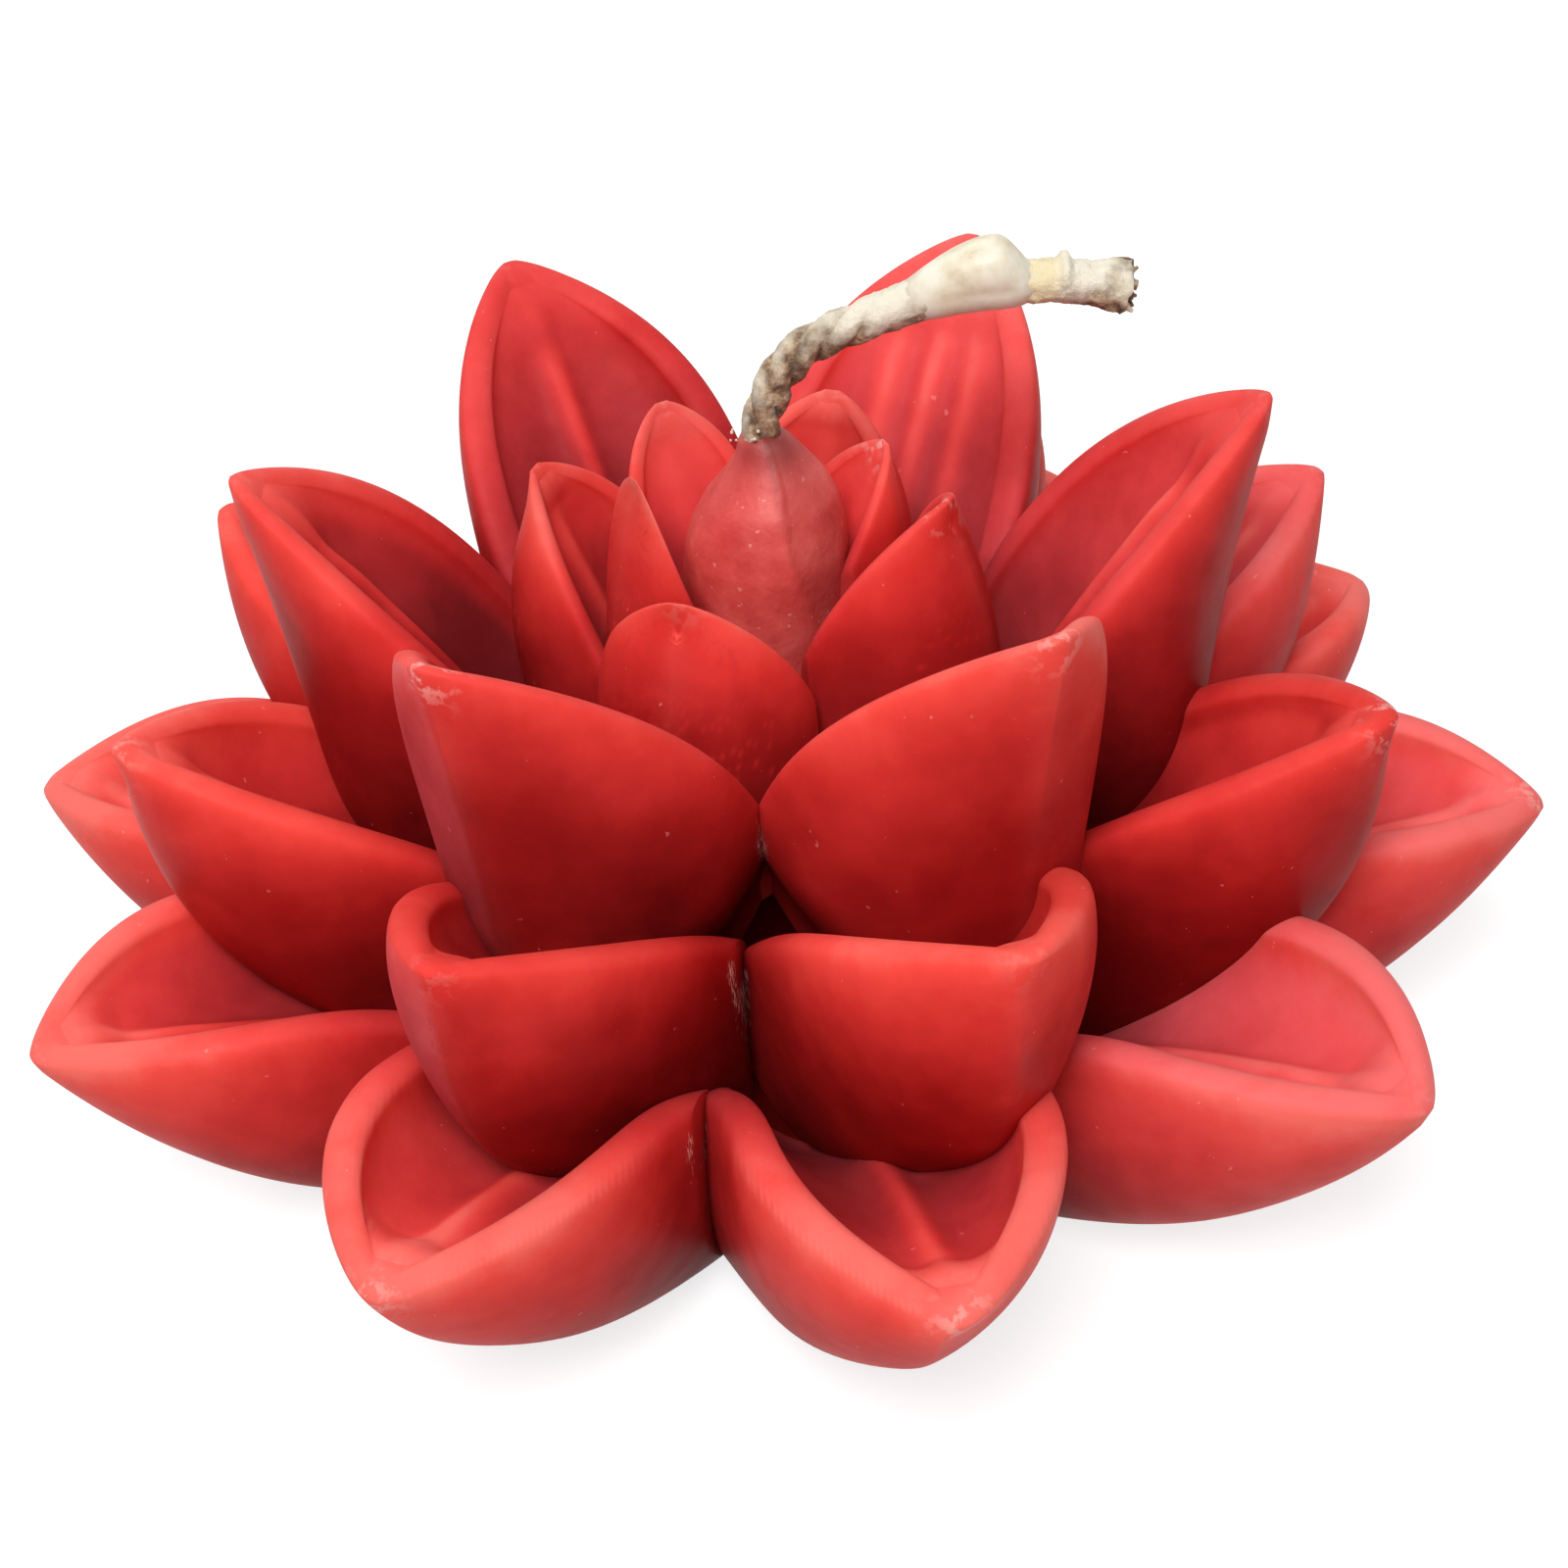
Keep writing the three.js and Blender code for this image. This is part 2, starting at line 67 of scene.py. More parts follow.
LOWER_RING = dict(
    name="lower_petal", count=8, first_azimuth=-26.6,
    shifts=[-0.5, 0.3, 0.3, 0.3, 0, 0, -0.2, -1], seam_shifts={1: -2}, leans={1: -0.0006},
    tip=(0.041, 0.0328), tip_depth=0.0024, tip_undercut=0.0004,
    rim_swell=(0.0249, 0.0289), rim_root=(0.0114, 0.013),
    keel_swell=(0.0402, 0.0136), keel_root=(0.0248, 0.0062),
    root_reach=0.005, root_drop=0.002, root_roundness=2.6,
    half_width=0.009, root_half_width=0.0088, nose=0.0013,
    rim_wall=0.0026, keel_wall=0.003, hollow=0.0052, rib=0.0012, lip=0.0005, crest=0.0005,
    widest_share=0.55, taper_power=2.5,
    pale=0.1, painted_light_tints={0: -0.16, 2: -0.18, 1: 0.02}, hollow_painted_light_tints={2: 0.2},
    bloom=0.04, bloomed={3: 0.25}, painted_sheens={0: 0.15, 2: 0.12},
    chipped={2: 1.0, 7: 0.5}, scuffed={1: 1.0}, lightening={7: 1.0, 3: 1.0, 2: 0.8},
)
MIDDLE_RING = dict(
    name="middle_petal", count=6, first_azimuth=-30.9,
    shifts=[-3, 0.7, -0.5, -0.6, 0, 3.3], tip_shares={5: (0.98, 0.985)}, side_ribs={3: 0.0008},
    tip=(0.0322, 0.0455), tip_depth=0.0025, tip_undercut=0.0002,
    rim_swell=(0.019, 0.0383), rim_root=(0.0117, 0.0219),
    keel_swell=(0.029, 0.0299), keel_root=(0.0279, 0.014),
    root_reach=0.006, root_drop=0.004, root_roundness=2.2,
    half_width=0.0102, root_half_width=0.0064, nose=0.0013,
    rim_wall=0.0024, keel_wall=0.0032, hollow=0.0038, rib=0.0012, lip=0.0004, crest=0.0005,
    widest_share=0.72, taper_power=2.6,
    pale=0.06, painted_light_tints={0: -0.03, 1: 0.1, 3: 0.04, 5: -0.03, 4: -0.12, 2: -0.04},
    hollow_painted_light_tints={5: -0.2, 2: 0.05},
    bloom=0.06, bloomed={2: 0.12, 3: 0.18, 4: 0.12}, painted_sheens={0: 0.18},
    chipped={0: 0.9, 1: 0.6}, scuffed={1: 0.8}, lightening={5: 1.0, 2: 1.0},
)
INNER_RING = dict(
    name="inner_petal", count=4, first_azimuth=-21.3,
    shifts=[0, -9, -4, 0], seam_shifts={1: -3},
    tip_shares={0: (0.94, 0.97), 1: (1, 1.042), 2: (1.02, 1), 3: (1.06, 0.99)},
    rim_shares={1: (0.78, 1.085), 2: (0.9, 1.06), 3: (1, 1.04)},
    tip=(0.0138, 0.0413), tip_depth=0.0019, tip_undercut=0.0,
    rim_swell=(0.0098, 0.0352), rim_root=(0.0066, 0.0262),
    keel_swell=(0.0188, 0.0322), keel_root=(0.015, 0.0215),
    root_reach=0.002, root_drop=0.008, root_roundness=2.4,
    half_width=0.0071, root_half_width=0.0065, nose=0.002,
    rim_wall=0.0015, keel_wall=0.0019, hollow=0.0026, rib=0.0005, lip=0.0003, crest=0.0001,
    widest_share=0.83, taper_power=2.3,
    pale=0.12, painted_light_tints={0: -0.04, 1: -0.1}, bloom=0.08, chipped={1: 0.8},
)
BUD_RING = dict(
    name="bud_petal", count=4, first_azimuth=23.7,
    shifts=[0, -4, 6, 2], missing_places=[0],
    tip_shares={1: (0.98, 0.985), 2: (1.12, 1.005), 3: (0.8, 1.03)}, rim_shares={1: (0.68, 1.01)},
    tip=(0.0096, 0.0427), tip_depth=0.0015, tip_undercut=-0.0002,
    rim_swell=(0.0076, 0.0384), rim_root=(0.0046, 0.032),
    keel_swell=(0.011, 0.034), keel_root=(0.0096, 0.026),
    root_reach=0.001, root_drop=0.008, root_roundness=2.2,
    half_width=0.0046, root_half_width=0.004, nose=0.0016,
    rim_wall=0.0011, keel_wall=0.0014, hollow=0.0016, rib=0.0003, lip=0.0002, crest=0.0,
    widest_share=0.8, taper_power=2.8,
    pale=0.16, bloom=0.12, chipped={1: 0.8},
)
RINGS = [BOTTOM_RING, LOWER_RING, MIDDLE_RING, INNER_RING, BUD_RING]
USUAL_CHIPS = 0.15
# Usual share of the painted highlight on a keel edge
USUAL_KEEL_HIGHLIGHT = 0.12

# What every piece shares
WELD_DISTANCE = 0.0000001
SMOOTH_ANGLE = 38
RANDOM_SEED = 7

# What every petal shares
PETAL_ROWS = 30
PETAL_COLUMNS = 32
LIP_COLUMNS = 4
LIP_POWER = 0.7
BOWL_ROUNDNESS = 2.0
TIP_ROUNDNESS = 1.15
ROW_POWER = 1.7
HOLLOW_FADE_POWER = 4
HOLLOW_END_SHARE = 0.97
HOLLOW_END_STEP = 0.0025
NOSE_SHARE = 0.3
RIB_HALF_WIDTH = 0.0010
SIDE_RIB_PLACE = 0.0031
SIDE_RIB_HALF_WIDTH = 0.0013
RIB_FADE_SHARE = 0.3
RIB_SIDE_FADE = 3
KEEL_CREST_WIDTH = 0.003
SEAM_OVERLAP = 0.00012
WEDGE_EDGE = 0.00001

# Painted light in a petal's wax: its colour is drawn palest near the rim and the tip, and on the ribs in the
# hollow, as if lit through. A pair holds the two ends of a soft step: shares run from root to tip or, where
# they say depth, from rim to keel, and facings run from -1 for straight down out of the boat to 1 for
# straight up.
PETAL_MARKS = ["glow", "print_lines", "seam", "keel_edge_highlight", "chips", "shade", "bloom"]
MARK_STEPS = 201
TIP_LIGHT = 0.3
TIP_LIGHT_SHARES = (0.0, 0.9)
RIM_LIGHT = 0.45
RIM_LIGHT_AT_ROOT = 0.3
RIM_LIGHT_DEPTH = 0.001
RIM_LIGHT_WIDTH_SHARE = 0.25
RIB_LIGHT = 0.35
RIB_LIGHT_HALF_WIDTH = 0.0008
SIDE_RIB_LIGHT_HALF_WIDTH = 0.0009
HOLLOW_FACINGS = (0.1, 0.5)
HOLLOW_DEPTHS = (0.0008, 0.002)

# Marks on a petal: scuffs, painted shade low on the hull near the seams, a painted highlight on the keel
# edge, bloom with a painted sheen beyond the keel, print lines and chips
SCUFF_PLACE = 0.0001
SCUFF_HALF_WIDTH = 0.0003
SCUFF_DEPTHS = (0.0002, 0.0012)
SCUFF_LENGTH = 0.005
# Painted shade, darkest low on the hull next to the seams
SHADE = 0.75
SHADE_LEAST = 0.2
SHADE_REACH = 0.0035
SHADE_DEPTH_SHARES = (0.35, 0.9)
SHADE_END_SHARES = (0.5, 0.9)
KEEL_EDGE_HALF_WIDTH = 0.0009
KEEL_EDGE_DEPTH_SHARES = (0.7, 0.95)
KEEL_EDGE_SHARES = (0.1, 0.4)
BLOOM_UNDERNEATH = 0.3
BLOOM_FACINGS = (0.05, 0.6)
# Painted sheen on the outer skin beyond the keel, on its side turned away from the front
PAINTED_SHEEN_SIDES = (0, 0.001)
PAINTED_SHEEN_FACINGS = (-0.1, 0.1)
PAINTED_SHEEN_SHARES = (0.2, 0.5)
PRINT_PLACE = 0.0005
PRINT_HALF_WIDTH = 0.0005
PRINT_FACINGS = (0.1, 0.4)
PRINT_SIDES = (0.0015, 0.003)
PRINT_SHARES = (0.35, 0.6)
CHIP_REACH = 0.0018

# Rows of the core and the bud, as (distance from the axis, height)
CORE_PROFILE = [
    (0.0245, 0.0), (0.0245, 0.0045), (0.0232, 0.0077), (0.0206, 0.0118), (0.0172, 0.016),
    (0.0133, 0.0197), (0.0098, 0.0229), (0.0071, 0.0254), (0.0052, 0.0275),
]
CORE_SIDES = 96
# Heights over which painted shade darkens the core above its foot
CORE_SHADE_HEIGHTS = (0.003, 0.009)
BUD_PLACE = 0.00075
# Each row of the bud also has how far it leans towards +x
BUD_PROFILE = [
    (0.0044, 0.0278, 0), (0.0047, 0.0300, 0), (0.0050, 0.0330, 0), (0.00515, 0.0355, 0),
    (0.00515, 0.0372, 0.0001), (0.0048, 0.0389, 0.0003), (0.0041, 0.04065, 0.0006), (0.0031, 0.0421, 0.0008),
    (0.0022, 0.0434, 0.0007), (0.0016, 0.0446, 0.0004), (0.0011, 0.0450, 0.0002),
]
BUD_ROWS = 60
BUD_SIDES = 120
BUD_LAYERS = 3
BUD_LAYER_STEP = 0.00022
BUD_LAYER_FADE_SHARE = 0.2
# The edge of the first layer is at the crease's azimuth above the bend, and swings round below it
BUD_CREASE = 12.0
BUD_CREASE_TURN = 90.0
BUD_CREASE_BEND_SHARE = 0.75
BUD_CREASE_POWER = 1.5
# Painted shade on the layer beyond the crease, in degrees from it, and darkening round the wick's foot,
# which is darkest at a turn in radians
BUD_FACET_SHADE = 0.22
BUD_FACET_START = (-4, 6)
BUD_FACET_END = (40, 70)
BUD_FOOT_DARKENING = 0.6
BUD_FOOT_DARKENING_REACH_SHARE = 0.11
BUD_FOOT_DARKENING_EVENNESS = 0.6
BUD_FOOT_DARKENING_TURN = 0.6

# Points of the wick above its foot, as (distance from the axis towards +x, height)
WICK_FOOT = 0.0024
WICK_ROUTE = [
    (0.00075, 0.038), (0.0008, 0.0442), (0.0015, 0.0469), (0.0026, 0.049), (0.0043, 0.0505),
    (0.0067, 0.0515), (0.0092, 0.0524), (0.012, 0.0532), (0.0148, 0.0536), (0.0172, 0.0536),
    (0.0194, 0.0535), (0.0214, 0.0532), (0.0233, 0.0528),
]
WICK_CURVE_STEPS = 16
WICK_RADIUS = 0.00125
WICK_END_RADIUS = 0.0016
WICK_ROWS = 420
WICK_SIDES = 44
# Strands: their turns, and how deep the grooves between them and how high their crowns are
WICK_STRANDS = 3
WICK_TURNS = 9.5
STRAND_POWER = 0.6
GROOVE_RADIUS_SHARE = 0.62
CROWN_RISE_SHARE = 0.40
WAXED_RADIUS_SHARE = 1.04
# Shares of the wick's length where the wax smooths it, where a ring of wax lies, and where it frays
WICK_SMOOTH_SHARES = (0.74, 0.81)
WICK_RING_SHARE = 0.943
WICK_RING_HALF_SHARE = 0.0045
WICK_RING_HEIGHT = 0.0005
WICK_RING_TOP_POWER = 0.5
WICK_FRAY_SHARE = 0.965
# Roughness of the wick: lumps, the lumps and the reach that its cut end adds, and grain
WICK_LUMP = 0.0001
FRAY_LUMP = 0.00025
FRAY_REACH = 0.0006
WICK_GRAIN = 0.00009
WICK_LUMP_SCALE = 2.3
WICK_GRAIN_SCALE = 7
FRAY_SCALE = 2.5
FRAY_PLACE = 5
WICK_LUMP_LENGTHS = 30
# Marks on the wick: wax and a painted highlight on top, soil at the end, painted shade drawn as soil
# underneath and in the grooves, and a cream band
WICK_MARKS = ["coat_and_highlight", "darkening", "cream"]
WICK_COAT_START_SHARE = 0.71
WICK_END_SHARES = (0.955, 0.99)
# Wax coat and a painted highlight on the wick's upper side
COAT_AND_HIGHLIGHT_ON_TOP = 0.55
COAT_WHERE_SMOOTH = 0.95
COAT_END_LOSSES = (0.5, 0.75)
# Painted shade in the grooves between strands
GROOVE_DEPTH = 0.9
SOIL_LEAST = 0.35
# Painted shade underneath the wick
PAINTED_SHADE_UNDERNEATH = 0.6
SOIL_AT_END = 0.8
CREAM_START_SHARES = (0.90, 0.912)
CREAM_END_SHARES = (0.93, 0.945)

# The drop of wax lies between two shares of the wick's length, and its peak at a share of its own
DROP_SHARES = (0.80, 0.916)
DROP_PEAK_SHARE = 0.74
DROP_RISE = 0.00155
DROP_SPREAD = 0.0002
DROP_TOP_POWER = 1.3
DROP_EDGE_RADIUS_SHARE = 0.96
DROP_SKIN_SHARE = 0.16
DROP_EDGE_SHARES = (0.3, 0.1)

# Loose fibres at the wick's cut end. The spread is how far they point outwards.
FIBRE_COUNT = 22
FIBRE_SIDES = 6
FIBRE_RADII = (0.0003, 0.0001)
FIBRE_LENGTHS = (0.0004, 0.0009)
FIBRE_REACH_SHARE = 0.85
FIBRE_SPREAD = (-0.5, 1.2)
FIBRE_OUT_SHARE = 0.3
FIBRE_HEADING_STEPS = 3

# Crumbs of wax round the wick's foot, with their turns in radians
CRUMB_COUNT = 9
CRUMB_TURNS = (-1.9, 1.5)
CRUMB_HEIGHTS = (0.0444, 0.0456)
CRUMB_RADII = (0.00006, 0.00015)
CRUMB_REACH = 0.00118
CRUMB_SLOPE = 0.6
CRUMB_ROUGHNESS_SHARE = 0.3
CRUMB_ROUGHNESS_SCALE = 5000

# Colours as (red, green, blue), and colour ramps as (position, colour)
# The petal ramp runs from painted shade to painted light, and the glow mark picks the place on it
PETAL_RAMP = [
    (0.0, (0.16, 0.002, 0.002)), (0.3, (0.40, 0.010, 0.009)), (0.55, (0.66, 0.030, 0.024)),
    (0.8, (0.86, 0.068, 0.050)), (1.0, (0.95, 0.15, 0.115)),
]
# Colour of the bloom and of the painted sheen beyond the keel
BLOOM_AND_SHEEN_COLOUR = (0.90, 0.20, 0.25)
DUST_COLOUR = (0.95, 0.45, 0.4)
# Painted highlight on the keel edge
KEEL_HIGHLIGHT_COLOUR = (0.72, 0.26, 0.23)
PRINT_COLOUR = (0.97, 0.36, 0.32)
CHIP_COLOUR = (0.95, 0.55, 0.5)
# Colour of the painted shade on the petals
SHADE_COLOUR = (0.03, 0.0, 0.0)
SCUFF_COLOUR = (1.0, 0.66, 0.60)
CORE_COLOUR = (0.5, 0.02, 0.017)
# Colour of the core's painted shade
CORE_SHADE_COLOUR = (0.02, 0.0, 0.0)
BUD_RAMP = [(0.3, (0.56, 0.050, 0.046)), (0.55, (0.70, 0.092, 0.082)), (0.75, (0.82, 0.16, 0.14))]
BUD_SPECK_COLOUR = (0.9, 0.5, 0.46)
# Colour of the bud's painted shade beyond the crease and of the darkening round the wick's foot
BUD_DARK_COLOUR = (0.16, 0.035, 0.03)
COTTON_RAMP = [
    (0.35, (0.10, 0.055, 0.03)), (0.48, (0.30, 0.19, 0.11)), (0.58, (0.52, 0.39, 0.25)),
    (0.72, (0.70, 0.62, 0.48)),
]
# Colour of soil and of painted shade on the wick
SOIL_AND_SHADE_COLOUR = (0.13, 0.08, 0.05)
# Colour of the wax coat and of the painted highlight on top
COAT_AND_HIGHLIGHT_COLOUR = (0.80, 0.74, 0.60)
CREAM_COLOUR = (0.80, 0.66, 0.36)
DROP_RAMP = [(0.32, (0.52, 0.42, 0.27)), (0.45, (0.72, 0.64, 0.48)), (0.62, (0.82, 0.77, 0.65))]

# How deep light goes into each material, and how deep its grain is
PETAL_LIGHT_DEPTH = 0.004
BUD_LIGHT_DEPTH = 0.003
COTTON_LIGHT_DEPTH = 0.001
DROP_LIGHT_DEPTH = 0.0025
PETAL_GRAIN_DEPTH = 0.00025
BUD_GRAIN_DEPTH = 0.00012
COTTON_GRAIN_DEPTH = 0.0003
DROP_GRAIN_DEPTH = 0.0001

# Stage. The greys light the candle, and the camera sees the floor and the surroundings nearly white.
FLOOR_SIZE = 8
FLOOR_GREY = (0.6, 0.6, 0.6)
FLOOR_SEEN_GREY = (0.4, 0.4, 0.4)
FLOOR_SEEN_GLOW = 0.78
WHITE = (1.0, 1.0, 1.0)
WORLD_GREY = (0.3, 0.3, 0.3)
LAMPS = [
    dict(name="key", place=(-0.06, -0.3, 0.42), target=(0, 0, 0.02), size=0.2, power=2.1),
    dict(name="rim", place=(-0.15, 0.25, 0.4), target=(0, 0, 0.03), size=0.25, power=0.5),
]

# Camera at the photograph's viewing angle
CAMERA_PLACE = (0.0, -0.14939, 0.11857)
CAMERA_PITCH = 33.695
CAMERA_YAW = 0.378
CAMERA_ROLL = 3.69
CAMERA_LENS = 62.0
CAMERA_NEAR = 0.01
SENSOR_WIDTH = 36.0


# Small helpers

def deselect():
    bpy.ops.object.select_all(action="DESELECT")


def activate(piece):
    deselect()
    piece.select_set(True)
    bpy.context.view_layer.objects.active = piece


def finish_modifier(piece, kind, **settings):
    activate(piece)
    modifier = piece.modifiers.new(kind.lower(), kind)
    for name, value in settings.items():
        setattr(modifier, name, value)
    bpy.ops.object.modifier_apply(modifier=modifier.name)


def smooth(low, high, value):
    t = np.clip((value - low) / (high - low), 0, 1)
    return t * t * (3 - 2 * t)


# The boat shape of a petal

def bezier(root, swell, tip, share):
    rest = 1 - share
    return rest * rest * np.array(root) + 2 * rest * share * np.array(swell) + share * share * np.array(tip)


def rim_at(ring, share):
    return bezier(ring["rim_root"], ring["rim_swell"], ring["tip"], share)


def keel_at(ring, share):
    tip = (ring["tip"][0] - ring["tip_undercut"], ring["tip"][1] - ring["tip_depth"])
    return bezier(ring["keel_root"], ring["keel_swell"], tip, share)


def half_width_at(ring, share):
    widest, full, root = ring["widest_share"], ring["half_width"], ring["root_half_width"]
    from_tip = 1 - share
    if from_tip < widest:
        width = full * (1 - (1 - from_tip / widest) ** ring["taper_power"])
    else:
        width = full - (full - root) * ((from_tip - widest) / (1 - widest)) ** 2
    nose = ring["nose"]
    rounded = full * math.sqrt(width ** 2 + 2 * width * nose) / math.sqrt(full ** 2 + 2 * full * nose)
    return max(rounded, nose * NOSE_SHARE)


def u_points(rim, keel, half_width, depth, roundness, ribs=(), lean=0.0, crest=0.0):
    """Points of one U-shaped row, from one rim edge round the keel to the other."""
    down = (keel - rim) / np.linalg.norm(keel - rim)
    points = []
    for column in range(PETAL_COLUMNS):
        angle = (column / (PETAL_COLUMNS - 1) - 1 / 2) * math.pi
        side = math.copysign(abs(math.sin(angle)) ** (2 / roundness), angle)
        fall = abs(math.cos(angle)) ** (2 / max(roundness, BOWL_ROUNDNESS))
        lateral = half_width * side
        lift = sum(rise * math.exp(-((abs(lateral) - middle) / width) ** 2) for rise, middle, width in ribs)
        ridge = crest * fall * (math.exp(-abs(lateral) / KEEL_CREST_WIDTH) - 1)
        place = rim + down * (depth * fall + ridge - lift * min(1, RIB_SIDE_FADE * fall))
        points.append((lateral + lean * fall, -place[0], place[1]))
    return points


def roundness_at(ring, share):
    return ring["root_roundness"] + (TIP_ROUNDNESS - ring["root_roundness"]) * share


def hollow_end(ring):
    share = 1.0
    while half_width_at(ring, share) < ring["rim_wall"]:
        share -= HOLLOW_END_STEP
    return share * HOLLOW_END_SHARE


def shell_row(ring, share, end):
    """One closed row of a hollow petal: outer skin, a lip, inner skin, the other lip."""
    rim, keel = rim_at(ring, share), keel_at(ring, share)
    depth = np.linalg.norm(keel - rim)
    width, roundness = half_width_at(ring, share), roundness_at(ring, share)
    outer = u_points(rim, keel, width, depth, roundness, lean=ring["lean"], crest=ring["crest"])
    inner_rim, inner_keel = rim_at(ring, share * end), keel_at(ring, share * end)
    room = max(np.linalg.norm(inner_keel - inner_rim) - ring["keel_wall"], 0)
    inner_depth = min(ring["hollow"], room) * (1 - share ** HOLLOW_FADE_POWER)
    inner_width = max(half_width_at(ring, share * end) - ring["rim_wall"], ring["nose"] * NOSE_SHARE)
    rib_fade = min(1, (1 - share) / RIB_FADE_SHARE)
    ribs = [
        (ring["rib"] * rib_fade, 0.0, RIB_HALF_WIDTH),
        (ring["side_rib"] * rib_fade, SIDE_RIB_PLACE, SIDE_RIB_HALF_WIDTH),
    ]
    inner = u_points(inner_rim, inner_keel, inner_width, inner_depth, BOWL_ROUNDNESS, ribs)
    up = (rim - keel) / depth

    def lip(start, stop):
        points = []
        for step in range(1, LIP_COLUMNS + 1):
            way = step / (LIP_COLUMNS + 1)
            lift = ring["lip"] * math.sin(math.pi * way) ** LIP_POWER
            x, y, z = np.array(start) * (1 - way) + np.array(stop) * way
            points.append((x, y - up[0] * lift, z + up[1] * lift))
        return points

    return outer + lip(outer[-1], inner[-1]) + inner[::-1] + lip(inner[0], outer[0])


def filled_row(ring, share):
    """One closed row of the space that a petal fills, hollow and all, a little inside its skin."""
    rim, keel = rim_at(ring, share), keel_at(ring, share)
    depth = np.linalg.norm(keel - rim) - 2 * SEAM_OVERLAP
    down = (keel - rim) / np.linalg.norm(keel - rim)
    width = max(half_width_at(ring, share) - SEAM_OVERLAP, SEAM_OVERLAP)
    rim = rim + down * SEAM_OVERLAP
    roundness = roundness_at(ring, share)
    return u_points(rim, keel, width, depth, roundness, lean=ring["lean"], crest=ring["crest"])


def loft(name, rows, first_pivot, last_pivot):
    """A closed skin over rows of points: a grid rolled into a tube, each end bridged across."""
    around, count = len(rows[0]), len(rows)
    deselect()
    bpy.ops.mesh.primitive_grid_add(x_subdivisions=around, y_subdivisions=count - 1, size=2)
    piece = bpy.context.object
    piece.name = name
    mesh = piece.data
    column_of = mesh.attributes.new("column", "INT", "POINT")
    row_of = mesh.attributes.new("row", "INT", "POINT")
    for vertex in mesh.vertices:
        column = round((vertex.co.x + 1) / 2 * around) % around
        row = round((vertex.co.y + 1) / 2 * (count - 1))
        vertex.co = rows[row][column]
        column_of.data[vertex.index].value = column
        row_of.data[vertex.index].value = row
    bpy.ops.object.mode_set(mode="EDIT")
    bpy.ops.mesh.select_all(action="SELECT")
    bpy.ops.mesh.remove_doubles(threshold=WELD_DISTANCE)
    bpy.ops.mesh.select_mode(type="EDGE")
    for end, pivot in ((0, first_pivot), (count - 1, last_pivot)):
        edit = bmesh.from_edit_mesh(mesh)
        columns = edit.verts.layers.int["column"]
        line = edit.verts.layers.int["row"]
        bpy.ops.mesh.select_all(action="DESELECT")
        for edge in edit.edges:
            a, b = edge.verts
            sides = {((vertex[columns] - pivot) % around) * 2 < around for vertex in (a, b)}
            if edge.is_boundary and a[line] == b[line] == end and len(sides) == 1:
                edge.select_set(True)
        edit.select_flush_mode()
        bmesh.update_edit_mesh(mesh)
        bpy.ops.mesh.bridge_edge_loops()
    bpy.ops.mesh.select_all(action="SELECT")
    bpy.ops.mesh.normals_make_consistent(inside=False)
    bpy.ops.object.mode_set(mode="OBJECT")
    mesh.attributes.remove(mesh.attributes["column"])
    mesh.attributes.remove(mesh.attributes["row"])
    return piece


def row_shares():
    return [1 - (1 - step / PETAL_ROWS) ** ROW_POWER for step in range(PETAL_ROWS + 1)]


def with_root(ring, rows):
    """The root row is repeated further in and down, where a neighbour cuts it off."""
    start = [(x, y + ring["root_reach"], z - ring["root_drop"]) for x, y, z in rows[0]]
    return [start] + rows


def petal_shell(ring):
    end = hollow_end(ring)
    rows = with_root(ring, [shell_row(ring, share, end) for share in row_shares()])
    half_lip = LIP_COLUMNS // 2
    piece = loft(ring["name"], rows, -half_lip % len(rows[0]), PETAL_COLUMNS // 2)
    finish_modifier(piece, "SUBSURF", levels=1, render_levels=1)
    return piece


def petal_filling(ring):
    rows = with_root(ring, [filled_row(ring, share) for share in row_shares()])
    middle = PETAL_COLUMNS // 2
    return loft("filling", rows, middle, middle)


def own(ring, table, place, usual):
    """One petal's own value from a table of its ring, or else the usual one."""
    return ring.get(table, {}).get(place, usual)


def places(ring):
    """Azimuth of each petal of a ring, the azimuths of the seams on its two sides, and its own sizes."""
    count = ring["count"]

    def azimuth(place):
        return ring["first_azimuth"] + place * 360 / count + ring["shifts"][place % count]

    def seam(place):
        return (azimuth(place - 1) + azimuth(place)) / 2 + own(ring, "seam_shifts", place % count, 0)

    found = []
    for place in range(count):
        if place in ring.get("missing_places", []):
            continue
        rim_shares = own(ring, "rim_shares", place, (1, 1))
        sizes = dict(
            ring,
            tip=np.multiply(ring["tip"], own(ring, "tip_shares", place, (1, 1))),
            rim_swell=np.multiply(ring["rim_swell"], rim_shares),
            rim_root=np.multiply(ring["rim_root"], rim_shares),
            lean=own(ring, "leans", place, 0.0),
            side_rib=own(ring, "side_ribs", place, 0.0),
            painted_light_tint=own(ring, "painted_light_tints", place, 0.0),
            hollow_painted_light_tint=own(ring, "hollow_painted_light_tints", place, 0.0),
            bloom=own(ring, "bloomed", place, ring["bloom"]),
            painted_sheen=own(ring, "painted_sheens", place, 0.0),
            chips=own(ring, "chipped", place, USUAL_CHIPS),
            scuffs=(own(ring, "scuffed", place, 0.0), own(ring, "scuffed", (place + 1) % count, 0.0)),
            keel_highlight=own(ring, "lightening", place, USUAL_KEEL_HIGHLIGHT),
            print_depth=float(place in ring.get("printed", [])),
        )
        found.append((azimuth(place), seam(place), seam(place + 1), sizes))
    return found


def turned_copy(piece, name, azimuth):
    copy = piece.copy()
    copy.data = piece.data.copy()
    copy.name = name
    copy.data.transform(Matrix.Rotation(math.radians(azimuth), 4, "Z"))
    bpy.context.scene.collection.objects.link(copy)
    return copy


